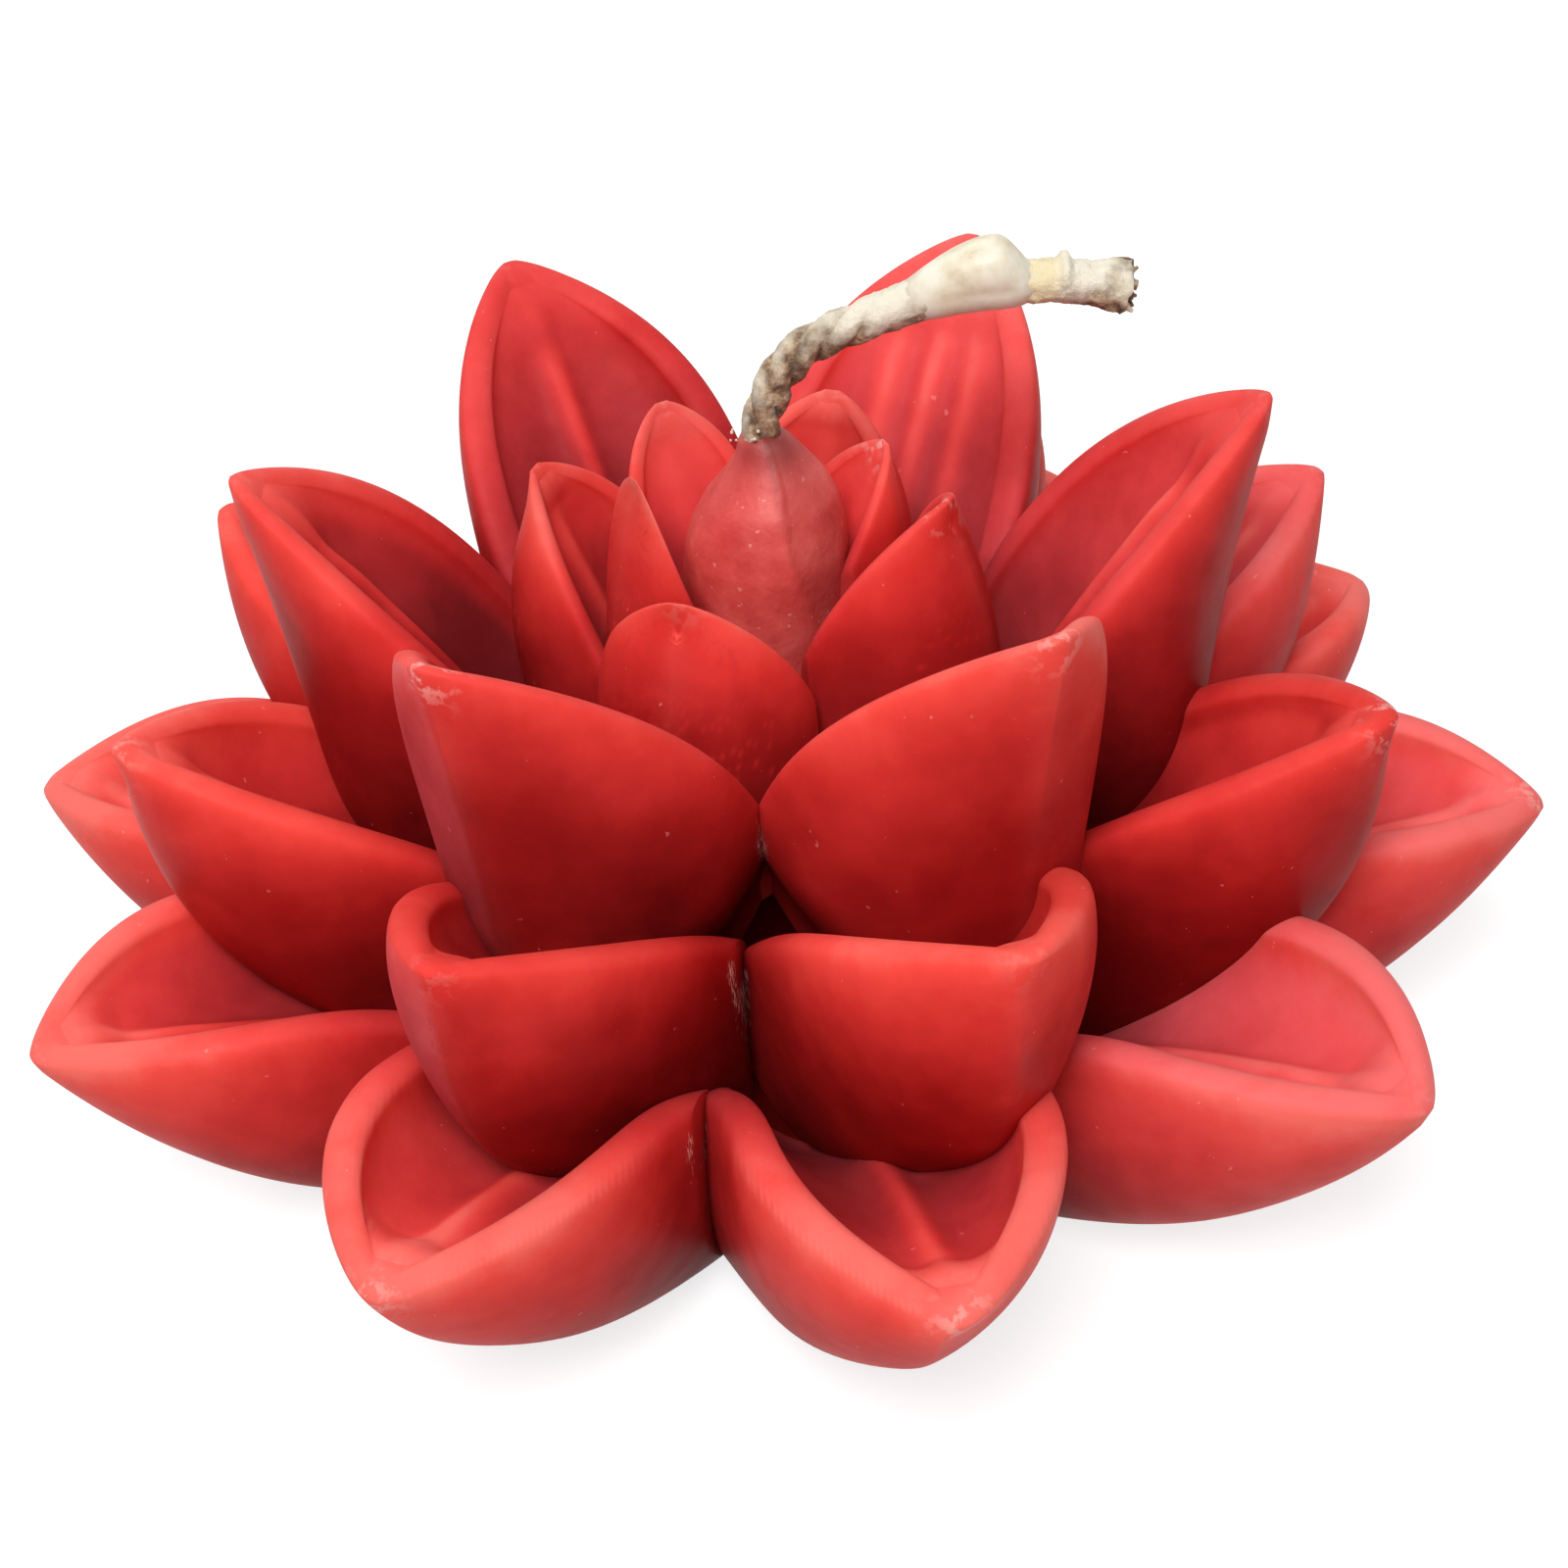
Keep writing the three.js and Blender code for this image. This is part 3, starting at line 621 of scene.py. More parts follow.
def sector(ring, before, after):
    """The wedge above the floor that a petal shares with no neighbour."""
    deselect()
    bpy.ops.mesh.primitive_cube_add(size=1)
    block = bpy.context.object
    reach, tall = 2 * ring["tip"][0], 2 * ring["tip"][1]
    half = math.radians((after - before) / 2)
    centre = math.radians((after + before) / 2)
    for vertex in block.data.vertices:
        outer = vertex.co.y < 0
        side = math.copysign(1, vertex.co.x)
        angle = side * half if outer else side * math.pi / 2
        far = reach if outer else WEDGE_EDGE
        height = tall if vertex.co.z > 0 else 0.0
        vertex.co = (far * math.sin(angle), -far * math.cos(angle), height)
    block.data.transform(Matrix.Rotation(centre, 4, "Z"))
    return block


def boolean(piece, other, operation):
    finish_modifier(piece, "BOOLEAN", object=other, operation=operation, solver="MANIFOLD")


def remove(piece):
    bpy.data.objects.remove(piece, do_unlink=True)


# Marks in the wax of the petals, painted light, shade, highlights and sheen among them

def vertex_vectors(mesh, kind):
    """The places or the normals of all vertices, one in each row."""
    values = np.empty(len(mesh.vertices) * 3)
    mesh.vertices.foreach_get(kind, values)
    return values.reshape(-1, 3)


def outward(vectors, azimuth):
    turn = math.radians(azimuth)
    return vectors[:, 0] * math.sin(turn) - vectors[:, 1] * math.cos(turn)


def sideways(vectors, azimuth):
    turn = math.radians(azimuth)
    return vectors[:, 0] * math.cos(turn) + vectors[:, 1] * math.sin(turn)


def bell(value, middle, half_width):
    """1 at the middle, falling away on both sides."""
    return np.exp(-((value - middle) / half_width) ** 2)


def places_on_petal(ring, flat):
    """How far along the petal each point is, how far below the rim, and the direction down to the keel."""
    shares = np.linspace(0, 1, MARK_STEPS)
    rims = np.array([rim_at(ring, share) for share in shares])
    spans = np.array([keel_at(ring, share) for share in shares]) - rims
    lengths = np.linalg.norm(spans, axis=1)
    offset = flat[:, None, :] - rims[None]
    cross = spans[None, :, 0] * offset[..., 1] - spans[None, :, 1] * offset[..., 0]
    nearest = np.abs(cross / lengths[None]).argmin(1)
    down = spans[nearest] / lengths[nearest, None]
    below_rim = (offset[np.arange(len(flat)), nearest] * down).sum(1)
    return shares[nearest], below_rim, below_rim / lengths[nearest], down


def petal_marks(piece, ring, azimuth, before, after):
    """Give a petal the marks that its wax reads, with a value at each vertex."""
    points, normals = (vertex_vectors(piece.data, kind) for kind in ("co", "normal"))
    flat = np.stack([outward(points, azimuth), points[:, 2]], 1)
    side = sideways(points, azimuth)
    share, below_rim, depth_share, down = places_on_petal(ring, flat)
    depth = np.clip(below_rim, 0, None)
    facing_up = -(outward(normals, azimuth) * down[:, 0] + normals[:, 2] * down[:, 1])
    off_keel = side - ring["lean"]

    # Painted light: the wax is drawn paler towards the tip and the rim, and on the ribs in the hollow
    tip_light = smooth(*TIP_LIGHT_SHARES, share)
    rim_light = np.exp(-depth / (RIM_LIGHT_WIDTH_SHARE * ring["half_width"] + RIM_LIGHT_DEPTH))
    rim_light *= RIM_LIGHT_AT_ROOT + (1 - RIM_LIGHT_AT_ROOT) * tip_light
    glow = np.clip(ring["pale"] + ring["painted_light_tint"] + TIP_LIGHT * tip_light + RIM_LIGHT * rim_light, 0, 1)
    ribs = bell(side, 0, RIB_LIGHT_HALF_WIDTH)
    if ring["side_rib"]:
        ribs += bell(np.abs(side), SIDE_RIB_PLACE, SIDE_RIB_LIGHT_HALF_WIDTH)
    in_hollow = smooth(*HOLLOW_FACINGS, facing_up) * smooth(*HOLLOW_DEPTHS, below_rim)
    # Painted light and shade in the hollow: single petals' hollows are drawn lighter or darker
    glow = np.clip(glow + (RIB_LIGHT * ribs + ring["hollow_painted_light_tint"]) * in_hollow, 0, 1)

    seams = [np.abs(sideways(points, plane)) for plane in (before, after)]
    near_seams = [bell(seam, SCUFF_PLACE, SCUFF_HALF_WIDTH) for seam in seams]
    scuffs = np.maximum(*(scuff * near_seam for scuff, near_seam in zip(ring["scuffs"], near_seams)))
    scuffs *= smooth(*SCUFF_DEPTHS, below_rim) * np.exp(-depth / SCUFF_LENGTH)

    # Painted shade low on the hull, darkest next to the seams
    low = smooth(*SHADE_DEPTH_SHARES, depth_share) * (1 - smooth(*SHADE_END_SHARES, share))
    shade = SHADE * low * np.maximum(bell(np.minimum(*seams), 0, SHADE_REACH), SHADE_LEAST)

    # Painted highlight along the keel edge
    edge = bell(off_keel, 0, KEEL_EDGE_HALF_WIDTH) * smooth(*KEEL_EDGE_DEPTH_SHARES, depth_share)
    edge *= ring["keel_highlight"] * smooth(*KEEL_EDGE_SHARES, share)

    bloom = BLOOM_UNDERNEATH + (1 - BLOOM_UNDERNEATH) * smooth(*BLOOM_FACINGS, facing_up)
    # Painted sheen beyond the keel, added into the bloom mark
    beyond_keel = smooth(*PAINTED_SHEEN_SIDES, off_keel * math.copysign(1, azimuth))
    painted_sheen = beyond_keel * (1 - smooth(*PAINTED_SHEEN_FACINGS, facing_up)) * smooth(*PAINTED_SHEEN_SHARES, share)
    bloom = ring["bloom"] * bloom + ring["painted_sheen"] * painted_sheen

    prints = bell(below_rim, PRINT_PLACE, PRINT_HALF_WIDTH) * smooth(*PRINT_FACINGS, facing_up)
    prints *= smooth(*PRINT_SIDES, np.abs(side)) * smooth(*PRINT_SHARES, share)
    prints *= ring["print_depth"]

    from_tip = np.sqrt(((flat - ring["tip"]) ** 2).sum(1) + side ** 2)
    chips = ring["chips"] * bell(from_tip, 0, CHIP_REACH)

    for name, values in zip(PETAL_MARKS, (glow, prints, scuffs, edge, chips, shade, bloom)):
        attribute = piece.data.attributes.new(name, "FLOAT", "POINT")
        attribute.data.foreach_set("value", values.astype(np.float32))


# Materials

class Shading:
    """The node tree of a material or of the world, and the kinds of node that are used in one."""

    def __init__(self, owner):
        owner.use_nodes = True
        self.nodes = owner.node_tree.nodes
        self.links = owner.node_tree.links

    def put(self, socket, value):
        """Link an output to a socket, or set the socket to a number, a vector or a colour."""
        if isinstance(value, bpy.types.NodeSocket):
            self.links.new(value, socket)
        elif isinstance(value, tuple) and len(value) < len(socket.default_value):
            socket.default_value = (*value, 1)
        else:
            socket.default_value = value

    def fill(self, node, values):
        for name, value in values.items():
            self.put(node.inputs[name], value)

    def coordinates(self):
        return self.nodes.new("ShaderNodeTexCoord").outputs["Object"]

    def mark(self, name):
        node = self.nodes.new("ShaderNodeAttribute")
        node.attribute_name = name
        return node.outputs["Fac"]

    def noise(self, place, scale, detail=4.0, roughness=0.5):
        node = self.nodes.new("ShaderNodeTexNoise")
        self.fill(node, {"Vector": place, "Scale": scale, "Detail": detail, "Roughness": roughness})
        return node.outputs["Fac"]

    def ramp(self, factor, stops):
        node = self.nodes.new("ShaderNodeValToRGB")
        elements = node.color_ramp.elements
        while len(elements) > 1:
            elements.remove(elements[-1])
        elements[0].position = stops[0][0]
        for position, _ in stops[1:]:
            elements.new(position)
        for element, (_, colour) in zip(elements, stops):
            element.color = (*colour, 1)
        self.links.new(factor, node.inputs["Fac"])
        return node.outputs["Color"]

    def above(self, value, level):
        return self.calculate("GREATER_THAN", value, level)

    def step(self, factor, low, high):
        """Black up to the low end, white from the high end on."""
        return self.ramp(factor, [(low, (0, 0, 0)), (high, (1, 1, 1))])

    def calculate(self, operation, *values, clamp=False):
        node = self.nodes.new("ShaderNodeMath")
        node.operation = operation
        node.use_clamp = clamp
        for socket, value in zip(node.inputs, values):
            self.put(socket, value)
        return node.outputs[0]

    def scaled(self, value, factor, offset=0.0):
        return self.calculate("MULTIPLY_ADD", value, factor, offset)

    def mix(self, factor, first, second):
        node = self.nodes.new("ShaderNodeMix")
        node.data_type = "RGBA"
        self.put(node.inputs["Factor"], factor)
        self.put(node.inputs[6], first)
        self.put(node.inputs[7], second)
        return node.outputs[2]

    def bump(self, height, depth, strength):
        node = self.nodes.new("ShaderNodeBump")
        self.fill(node, {"Height": height, "Distance": depth, "Strength": strength})
        return node.outputs["Normal"]


def new_material(name, colour_and_finish):
    """A material whose shader gets what the given function makes of its node tree."""
    material = bpy.data.materials.new(name)
    tree = Shading(material)
    tree.fill(tree.nodes["Principled BSDF"], colour_and_finish(tree))
    return material


def light_inside(weight, colour_reach, depth):
    return {"Subsurface Weight": weight, "Subsurface Radius": colour_reach, "Subsurface Scale": depth}


def petal_wax(tree):
    place = tree.coordinates()
    clouds = tree.noise(place, scale=110, detail=6, roughness=0.62)
    drift = tree.scaled(clouds, factor=0.7, offset=-0.35)
    # Painted light and shade: the glow mark sets where the colour falls on the ramp
    colour = tree.ramp(tree.calculate("ADD", tree.mark("glow"), drift, clamp=True), PETAL_RAMP)
    # Bloom, together with the painted sheen beyond the keel
    bloom_and_sheen = tree.calculate("MULTIPLY", tree.mark("bloom"), tree.scaled(clouds, factor=2.0))
    colour = tree.mix(bloom_and_sheen, colour, BLOOM_AND_SHEEN_COLOUR)
    # Pale specks of dust
    lightening = tree.above(tree.noise(place, scale=1400, detail=2), level=0.76)
    colour = tree.mix(tree.scaled(lightening, factor=0.3), colour, DUST_COLOUR)
    # Painted highlight on the keel edge
    colour = tree.mix(tree.scaled(tree.mark("keel_edge_highlight"), factor=0.3), colour, KEEL_HIGHLIGHT_COLOUR)

    lines = tree.nodes.new("ShaderNodeTexWave")
    lines.wave_type = "BANDS"
    lines.bands_direction = "X"
    tree.fill(lines, {"Vector": place, "Scale": 900, "Distortion": 1.5})
    prints = tree.calculate("MULTIPLY", lines.outputs["Fac"], tree.mark("print_lines"))
    colour = tree.mix(tree.scaled(prints, factor=0.25), colour, PRINT_COLOUR)

    broken = tree.step(tree.noise(place, scale=1100, detail=4, roughness=0.6), low=0.52, high=0.6)
    chips = tree.calculate("MULTIPLY", tree.mark("chips"), broken)
    colour = tree.mix(tree.scaled(chips, factor=0.7), colour, CHIP_COLOUR)
    # Painted shade from the shade mark
    colour = tree.mix(tree.mark("shade"), colour, SHADE_COLOUR)

    streaks = tree.nodes.new("ShaderNodeMapping")
    tree.fill(streaks, {"Vector": place, "Scale": (1, 1, 0.15)})
    streaky = tree.noise(streaks.outputs["Vector"], scale=8500, detail=3, roughness=0.6)
    rubbed = tree.calculate("MULTIPLY", tree.mark("seam"), tree.scaled(streaky, factor=3.2, offset=-1.05))
    scuffs = tree.step(rubbed, low=0.3, high=0.5)
    colour = tree.mix(tree.scaled(scuffs, factor=0.9), colour, SCUFF_COLOUR)

    lumps = tree.scaled(tree.noise(place, scale=220, detail=3), factor=0.5)
    grain = tree.scaled(tree.noise(place, scale=2200, detail=3), factor=0.06)
    height = tree.calculate("ADD", lumps, grain)
    height = tree.calculate("ADD", height, tree.scaled(prints, factor=0.1))
    return {
        "Base Color": colour,
        **light_inside(0.35, (1.0, 0.22, 0.14), PETAL_LIGHT_DEPTH),
        "Specular IOR Level": 0.08,
        "IOR": 1.43,
        "Roughness": tree.scaled(tree.noise(place, scale=420), factor=0.16, offset=0.42),
        "Normal": tree.bump(height, PETAL_GRAIN_DEPTH, strength=0.6),
    }


def core_wax(tree):
    """Plain dull wax for the core, which only its underside and deep gaps show, with painted shade above its
    foot.
    """
    return {
        "Base Color": tree.mix(tree.mark("shade"), CORE_COLOUR, CORE_SHADE_COLOUR),
        "Specular IOR Level": 0.0,
        "Roughness": 0.8,
    }


def bud_wax(tree):
    place = tree.coordinates()
    colour = tree.ramp(tree.noise(place, scale=300, detail=5, roughness=0.6), BUD_RAMP)
    specks = tree.above(tree.noise(place, scale=1700, detail=2), level=0.71)
    colour = tree.mix(tree.scaled(specks, factor=0.35), colour, BUD_SPECK_COLOUR)
    grain = tree.noise(place, scale=1500, detail=4, roughness=0.6)
    return {
        # Painted shade beyond the crease, and darkening round the wick's foot
        "Base Color": tree.mix(tree.mark("facet_shade_and_foot_darkening"), colour, BUD_DARK_COLOUR),
        **light_inside(0.25, (1.0, 0.25, 0.18), BUD_LIGHT_DEPTH),
        "Specular IOR Level": 0.35,
        "Roughness": 0.5,
        "Normal": tree.bump(grain, BUD_GRAIN_DEPTH, strength=0.6),
    }


def wick_cotton(tree):
    place = tree.coordinates()
    colour = tree.ramp(tree.noise(place, scale=900, detail=5, roughness=0.65), COTTON_RAMP)
    darkening = tree.step(tree.noise(place, scale=480, detail=4, roughness=0.6), low=0.5, high=0.62)
    # Soil, with painted shade underneath and in the grooves
    colour = tree.mix(tree.calculate("MULTIPLY", darkening, tree.mark("darkening")), colour, SOIL_AND_SHADE_COLOUR)
    patches = tree.scaled(tree.noise(place, scale=420, detail=4, roughness=0.6), factor=3.0, offset=-1.6)
    # Wax coat, with a painted highlight on the upper side
    waxed = tree.calculate("ADD", tree.mark("coat_and_highlight"), patches, clamp=True)
    colour = tree.mix(waxed, colour, COAT_AND_HIGHLIGHT_COLOUR)
    fuzz = tree.noise(place, scale=1600, detail=5, roughness=0.7)
    return {
        "Base Color": tree.mix(tree.scaled(tree.mark("cream"), factor=0.7), colour, CREAM_COLOUR),
        **light_inside(0.2, (1.0, 0.8, 0.5), COTTON_LIGHT_DEPTH),
        "Roughness": tree.scaled(waxed, factor=-0.35, offset=0.8),
        "Normal": tree.bump(fuzz, COTTON_GRAIN_DEPTH, strength=0.7),
    }


def pale_wax(tree):
    place = tree.coordinates()
    return {
        "Base Color": tree.ramp(tree.noise(place, scale=380, detail=4, roughness=0.6), DROP_RAMP),
        **light_inside(0.4, (1.0, 0.85, 0.6), DROP_LIGHT_DEPTH),
        "Roughness": 0.36,
        "Normal": tree.bump(tree.noise(place, scale=900, detail=3), DROP_GRAIN_DEPTH, strength=0.5),
    }


# Pieces

def dress(piece, name, node, slot, material=None):
    """Give a finished piece its material, and let it stand in for the plain node."""
    piece.name = name
    piece.data.materials.clear()
    piece.data.materials.append(materials[material or slot])
    activate(piece)
    bpy.ops.object.shade_smooth_by_angle(angle=math.radians(SMOOTH_ANGLE))
    if node:
        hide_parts(node)
    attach(piece, "root")


def make_core():
    turns = [2 * math.pi * step / CORE_SIDES for step in range(CORE_SIDES)]
    rows = [[(r * math.sin(turn), -r * math.cos(turn), z) for turn in turns] for r, z in CORE_PROFILE]
    return loft("core", rows, 0, 0)


def paint_core_shade(piece):
    """Painted shade: the core shows only deep between the petals, so it is drawn nearly black above its
    foot.
    """
    shade = piece.data.attributes.new("shade", "FLOAT", "POINT")
    for vertex in piece.data.vertices:
        shade.data[vertex.index].value = smooth(*CORE_SHADE_HEIGHTS, vertex.co.z)


def make_petals(core):
    """All petals, each cut by the seams with its neighbours and by the core and the petals further in."""
    in_the_way = core
    for ring in reversed(RINGS):
        shells, fillings = {}, []
        for number, (azimuth, before, after, sizes) in enumerate(places(ring), 1):
            key = tuple(sizes["tip"]), tuple(sizes["rim_root"]), sizes["lean"], sizes["side_rib"]
            if key not in shells:
                shells[key] = petal_shell(sizes), petal_filling(sizes)
            shell, filling = shells[key]
            node = f"{ring['name']}_{number:02d}"
            petal = turned_copy(shell, "fine_" + node, azimuth)
            wedge = sector(ring, before, after)
            boolean(petal, wedge, "INTERSECT")
            remove(wedge)
            boolean(petal, in_the_way, "DIFFERENCE")
            petal_marks(petal, sizes, azimuth, before, after)
            dress(petal, "fine_" + node, node, "petal_wax")
            fillings.append(turned_copy(filling, "filling", azimuth))
        for filling in fillings:
            boolean(in_the_way, filling, "UNION")
            remove(filling)
        for shell, filling in shells.values():
            remove(shell)
            remove(filling)
    remove(in_the_way)


def bud_crease(up):
    """Azimuth of the first layer's edge at a share of the bud's height."""
    return BUD_CREASE + BUD_CREASE_TURN * max(0, BUD_CREASE_BEND_SHARE - up) ** BUD_CREASE_POWER


def make_bud():
    """A closed bud of wrapped layers, each of which ends in a small step where it laps over the next."""
    radii, heights, leans = np.array(BUD_PROFILE).T
    rows = []
    for level in np.linspace(heights[0], heights[-1], BUD_ROWS):
        radius = np.interp(level, heights, radii)
        middle = BUD_PLACE + np.interp(level, heights, leans)
        up = (level - heights[0]) / (heights[-1] - heights[0])
        fade = smooth(0, BUD_LAYER_FADE_SHARE, 1 - up)
        row = []
        for azimuth in np.arange(BUD_SIDES) * 360.0 / BUD_SIDES:
            way = ((azimuth - bud_crease(up)) * BUD_LAYERS / 360) % 1
            turn = math.radians(azimuth)
            reach = radius + BUD_LAYER_STEP * fade * (way - 1 / 2)
            row.append((middle + reach * math.sin(turn), -reach * math.cos(turn), level))
        rows.append(row)
    piece = loft("bud", rows, 0, 0)
    finish_modifier(piece, "SMOOTH", factor=0.5, iterations=2)
    facet_shade_and_foot_darkening = piece.data.attributes.new("facet_shade_and_foot_darkening", "FLOAT", "POINT")
    for vertex in piece.data.vertices:
        depth = (heights[-1] - vertex.co.z) / (heights[-1] - heights[0])
        side = math.atan2(vertex.co.x - BUD_PLACE, -vertex.co.y)
        beyond = math.degrees(side) - bud_crease(1 - depth)
        # Painted shade on the layer beyond the crease, and darkening round the wick's foot
        facet = BUD_FACET_SHADE * smooth(*BUD_FACET_START, beyond) * (1 - smooth(*BUD_FACET_END, beyond))
        around = BUD_FOOT_DARKENING_EVENNESS + (1 - BUD_FOOT_DARKENING_EVENNESS) * math.cos(side - BUD_FOOT_DARKENING_TURN)
        darkening = BUD_FOOT_DARKENING * math.exp(-(depth / BUD_FOOT_DARKENING_REACH_SHARE) ** 2) * around
        facet_shade_and_foot_darkening.data[vertex.index].value = min(1, facet + darkening)
    return piece


def wick_centres():
    """Evenly spaced points along the wick, from a curve object drawn through its route."""
    deselect()
    bpy.ops.curve.primitive_bezier_curve_add()
    curve = bpy.context.object
    curve.data.resolution_u = WICK_CURVE_STEPS
    points = curve.data.splines[0].bezier_points
    route = [(BUD_PLACE, WICK_FOOT)] + WICK_ROUTE
    points.add(len(route) - len(points))
    for point, (x, z) in zip(points, route):
        point.co = (x, 0, z)
        point.handle_left_type = point.handle_right_type = "AUTO"
    bpy.ops.object.convert(target="MESH")
    drawn = np.array([vertex.co for vertex in curve.data.vertices])
    remove(curve)
    lengths = np.concatenate([[0], np.linalg.norm(np.diff(drawn, axis=0), axis=1).cumsum()])
    even = np.linspace(0, lengths[-1], WICK_ROWS + 1)
    return np.stack([np.interp(even, lengths, drawn[:, axis]) for axis in range(3)], 1)


def upward_from(forward):
    """The direction at right angles to the wick that lies above it, in the plane y = 0."""
    upward = np.array([-forward[2], 0, forward[0]])
    return upward / np.linalg.norm(upward)


def tube(name, centres, radius_at):
    """A closed tube round a line of points in the plane y = 0."""
    ahead = np.gradient(centres, axis=0)
    ahead /= np.linalg.norm(ahead, axis=1)[:, None]
    rows = []
    for index, (centre, forward) in enumerate(zip(centres, ahead)):
        share = index / (len(centres) - 1)
        row = []
        for side in range(WICK_SIDES):
            turn = 2 * math.pi * side / WICK_SIDES
            out = upward_from(forward) * math.cos(turn) + np.array([0, 1, 0]) * math.sin(turn)
            radius, shift = radius_at(share, turn)
            row.append(tuple(centre + out * radius + forward * shift))
        rows.append(row)
    return loft(name, rows, 0, 0)


def rough(place, scale):
    return noise.noise(Vector(place) * scale)


def strand_height(share, turn):
    """0 in a groove between two strands, 1 on a strand's crown."""
    return abs(math.cos(WICK_STRANDS / 2 * (turn - 2 * math.pi * WICK_TURNS * share))) ** STRAND_POWER


def wick_radius(share, turn):
    """Radius of the wick at a place on its skin, and how far the skin is moved forward there."""
    twisted = WICK_RADIUS * (GROOVE_RADIUS_SHARE + CROWN_RISE_SHARE * strand_height(share, turn))
    radius = twisted + (WICK_RADIUS * WAXED_RADIUS_SHARE - twisted) * smooth(*WICK_SMOOTH_SHARES, share)
    fray = smooth(WICK_FRAY_SHARE, 1, share)
    radius += (WICK_END_RADIUS - WICK_RADIUS) * fray
    above = max(0, math.cos(turn)) ** WICK_RING_TOP_POWER
    radius += WICK_RING_HEIGHT * above * math.exp(-((share - WICK_RING_SHARE) / WICK_RING_HALF_SHARE) ** 4)
    spot = (math.cos(turn), math.sin(turn), share * WICK_LUMP_LENGTHS)
    radius += (WICK_LUMP + FRAY_LUMP * fray) * rough(spot, WICK_LUMP_SCALE)
    radius += WICK_GRAIN * rough(spot, WICK_GRAIN_SCALE)
    return radius, FRAY_REACH * fray * rough((math.cos(turn), math.sin(turn), FRAY_PLACE), FRAY_SCALE)


def make_wick(centres):
    piece = tube("wick", centres, wick_radius)
    coat_and_highlight, darkening, cream = (piece.data.attributes.new(name, "FLOAT", "POINT") for name in WICK_MARKS)
    steps = len(centres)
    lit_loss, waxed_loss = COAT_END_LOSSES
    for vertex in piece.data.vertices:
        place = np.array(vertex.co)
        index = int(np.linalg.norm(centres - place, axis=1).argmin())
        share = index / (steps - 1)
        out = place - centres[index]
        height = out @ upward_from(centres[min(index + 1, steps - 1)] - centres[max(index - 1, 0)])
        above = height / np.linalg.norm(out)
        waxed = smooth(WICK_COAT_START_SHARE, WICK_SMOOTH_SHARES[1], share)
        ended = smooth(*WICK_END_SHARES, share)
        # Painted shade in the grooves between strands
        groove = GROOVE_DEPTH * (1 - strand_height(share, math.atan2(out[1], height))) * (1 - waxed)
        # Painted highlight on the upper side
        lit = COAT_AND_HIGHLIGHT_ON_TOP * above * (1 - lit_loss * ended)
        smoothed = COAT_WHERE_SMOOTH * waxed * (1 - waxed_loss * ended)
        coat_and_highlight.data[vertex.index].value = float(lit + smoothed - groove)
        # Painted shade underneath
        under = PAINTED_SHADE_UNDERNEATH * max(-above, 0)
        darkening.data[vertex.index].value = float(SOIL_LEAST + under + SOIL_AT_END * ended + groove)
        band = smooth(*CREAM_START_SHARES, share) * (1 - smooth(*CREAM_END_SHARES, share))
        cream.data[vertex.index].value = float(band)
    return piece


def drop_radius(share, turn):
    """Radius of the drop of wax at a share of its own length."""
    start, end = DROP_EDGE_SHARES
    if share < DROP_PEAK_SHARE:
        bulge = smooth(0, 1, share / DROP_PEAK_SHARE)
    else:
        bulge = smooth(0, 1, (1 - share) / (1 - DROP_PEAK_SHARE))
    above = max(0, math.cos(turn)) ** DROP_TOP_POWER
    thickness = DROP_SKIN_SHARE * smooth(0, start, share) * smooth(0, end, 1 - share)
    skin = WICK_RADIUS * (DROP_EDGE_RADIUS_SHARE + thickness)
    return skin + bulge * (DROP_SPREAD + (DROP_RISE - DROP_SPREAD) * above), 0


def make_drop(centres):
    """A lump of cooled wax that rises gently from the bud's side and falls off steeply at the other."""
    first, last = (round(share * (len(centres) - 1)) for share in DROP_SHARES)
    return tube("drop", centres[first:last + 1], drop_radius)


def join(pieces):
    activate(pieces[0])
    for piece in pieces:
        piece.select_set(True)
    bpy.ops.object.join()
    return bpy.context.object


def make_fibres(centres):
    """Loose cotton fibres at the cut end of the wick, with its marks left at nought."""
    end = Vector(centres[-1])
    ahead = Vector(centres[-1] - centres[-1 - FIBRE_HEADING_STEPS]).normalized()
    wide, thin = FIBRE_RADII
    fibres = []
    for _ in range(FIBRE_COUNT):
        turn = random.uniform(0, 2 * math.pi)
        reach = WICK_END_RADIUS * random.uniform(0, FIBRE_REACH_SHARE)
        out = Vector(upward_from(ahead)) * math.cos(turn) + Vector((0, 1, 0)) * math.sin(turn)
        heading = (ahead + out * random.uniform(*FIBRE_SPREAD)).normalized()
        length = random.uniform(*FIBRE_LENGTHS)
        deselect()
        bpy.ops.mesh.primitive_cone_add(vertices=FIBRE_SIDES, radius1=wide, radius2=thin, depth=length)
        fibre = bpy.context.object
        fibre.data.transform(heading.to_track_quat("Z", "Y").to_matrix().to_4x4())
        fibre.data.transform(Matrix.Translation(end + out * reach + heading * length * FIBRE_OUT_SHARE))
        fibres.append(fibre)
    piece = join(fibres)
    for name in WICK_MARKS:
        piece.data.attributes.new(name, "FLOAT", "POINT")
    return piece


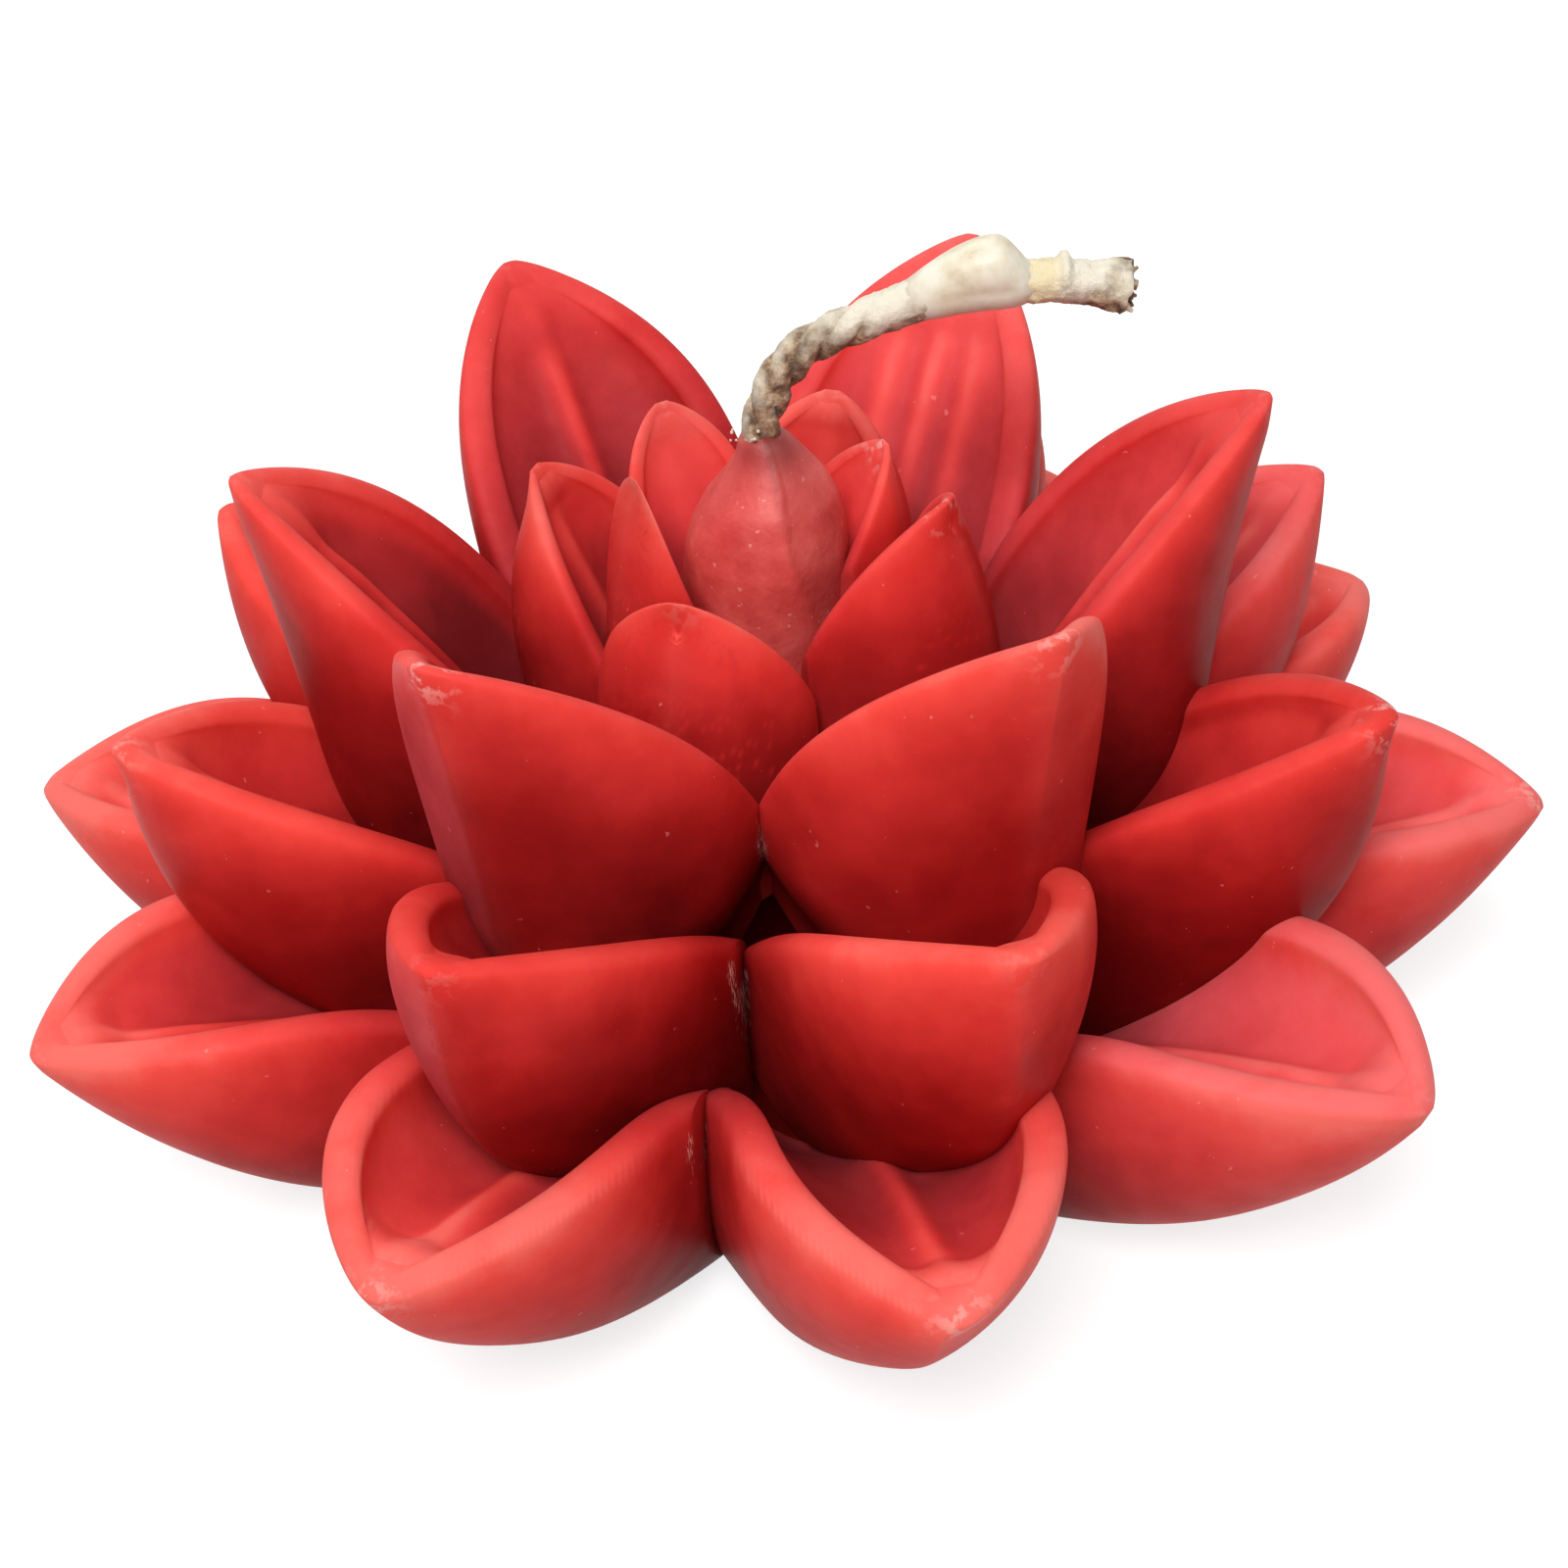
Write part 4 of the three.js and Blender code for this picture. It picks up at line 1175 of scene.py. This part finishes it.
def make_crumbs():
    """Small crumbs of pale wax round the foot of the wick."""
    crumbs = []
    for _ in range(CRUMB_COUNT):
        turn = random.uniform(*CRUMB_TURNS)
        height = random.uniform(*CRUMB_HEIGHTS)
        reach = CRUMB_REACH + (CRUMB_HEIGHTS[1] - height) * CRUMB_SLOPE
        deselect()
        bpy.ops.mesh.primitive_ico_sphere_add(subdivisions=2, radius=random.uniform(*CRUMB_RADII))
        crumb = bpy.context.object
        for vertex in crumb.data.vertices:
            spot = vertex.co * CRUMB_ROUGHNESS_SCALE + Vector((turn, height, 0))
            vertex.co *= 1 + CRUMB_ROUGHNESS_SHARE * rough(spot, 1)
        place = (BUD_PLACE + reach * math.sin(turn), -reach * math.cos(turn), height)
        crumb.data.transform(Matrix.Translation(place))
        crumbs.append(crumb)
    return join(crumbs)


FINISHES = dict(
    petal_wax=petal_wax, core_wax=core_wax, bud_wax=bud_wax, wick_cotton=wick_cotton, pale_wax=pale_wax,
)
random.seed(RANDOM_SEED)
materials = {name: new_material(name, finish) for name, finish in FINISHES.items()}
wick_line = wick_centres()
fine_core = make_core()
paint_core_shade(fine_core)
dress(fine_core, "fine_core", "core", "petal_wax", material="core_wax")
make_petals(make_core())
dress(make_bud(), "fine_bud", "bud", "bud_wax")
dress(make_wick(wick_line), "fine_wick", "wick", "wick_cotton")
dress(make_drop(wick_line), "fine_wick_wax_drop", "wick_wax_drop", "pale_wax")
dress(make_fibres(wick_line), "wick_fibres", None, "wick_cotton")
dress(make_crumbs(), "wax_crumbs", None, "pale_wax")


# Stage: pale floor, white surroundings, soft lamps and the camera

def is_seen(tree):
    """1 for what the camera sees, also in a reflection or through something, and 0 for light on things."""
    path = tree.nodes.new("ShaderNodeLightPath").outputs
    seen = tree.calculate("ADD", path["Is Camera Ray"], path["Is Glossy Ray"])
    return tree.calculate("ADD", seen, path["Is Transmission Ray"], clamp=True)


def floor_finish(tree):
    seen = is_seen(tree)
    return {
        "Base Color": tree.mix(seen, FLOOR_GREY, FLOOR_SEEN_GREY),
        "Roughness": 0.9,
        "Specular IOR Level": 0.0,
        "Emission Color": WHITE,
        "Emission Strength": tree.scaled(seen, factor=FLOOR_SEEN_GLOW),
    }


def make_floor():
    deselect()
    bpy.ops.mesh.primitive_plane_add(size=FLOOR_SIZE, location=(0, 0, 0))
    floor = bpy.context.object
    floor.name = "floor"
    floor.data.materials.append(new_material("floor", floor_finish))


def make_world():
    world = bpy.data.worlds.new("surroundings")
    bpy.context.scene.world = world
    tree = Shading(world)
    colour = tree.mix(is_seen(tree), WORLD_GREY, WHITE)
    tree.fill(tree.nodes["Background"], {"Color": colour, "Strength": 1.0})


def add_lamp(name, place, target, size, power):
    bpy.ops.object.light_add(type="AREA", location=place)
    lamp = bpy.context.object
    lamp.name = name
    lamp.data.size = size
    lamp.data.energy = power
    lamp.rotation_euler = (Vector(target) - Vector(place)).to_track_quat("-Z", "Y").to_euler()


def make_camera():
    bpy.ops.object.camera_add()
    camera = bpy.context.object
    camera.name = "camera"
    camera.data.sensor_width = SENSOR_WIDTH
    camera.data.lens = CAMERA_LENS
    camera.data.clip_start = CAMERA_NEAR
    turn = Matrix.Rotation(math.radians(-CAMERA_YAW), 4, "Z")
    turn = turn @ Matrix.Rotation(math.radians(90 - CAMERA_PITCH), 4, "X")
    turn = turn @ Matrix.Rotation(math.radians(-CAMERA_ROLL), 4, "Z")
    camera.matrix_world = Matrix.Translation(CAMERA_PLACE) @ turn
    bpy.context.scene.camera = camera


make_floor()
make_world()
for lamp in LAMPS:
    add_lamp(**lamp)
make_camera()
bpy.context.scene.view_settings.view_transform = "Standard"
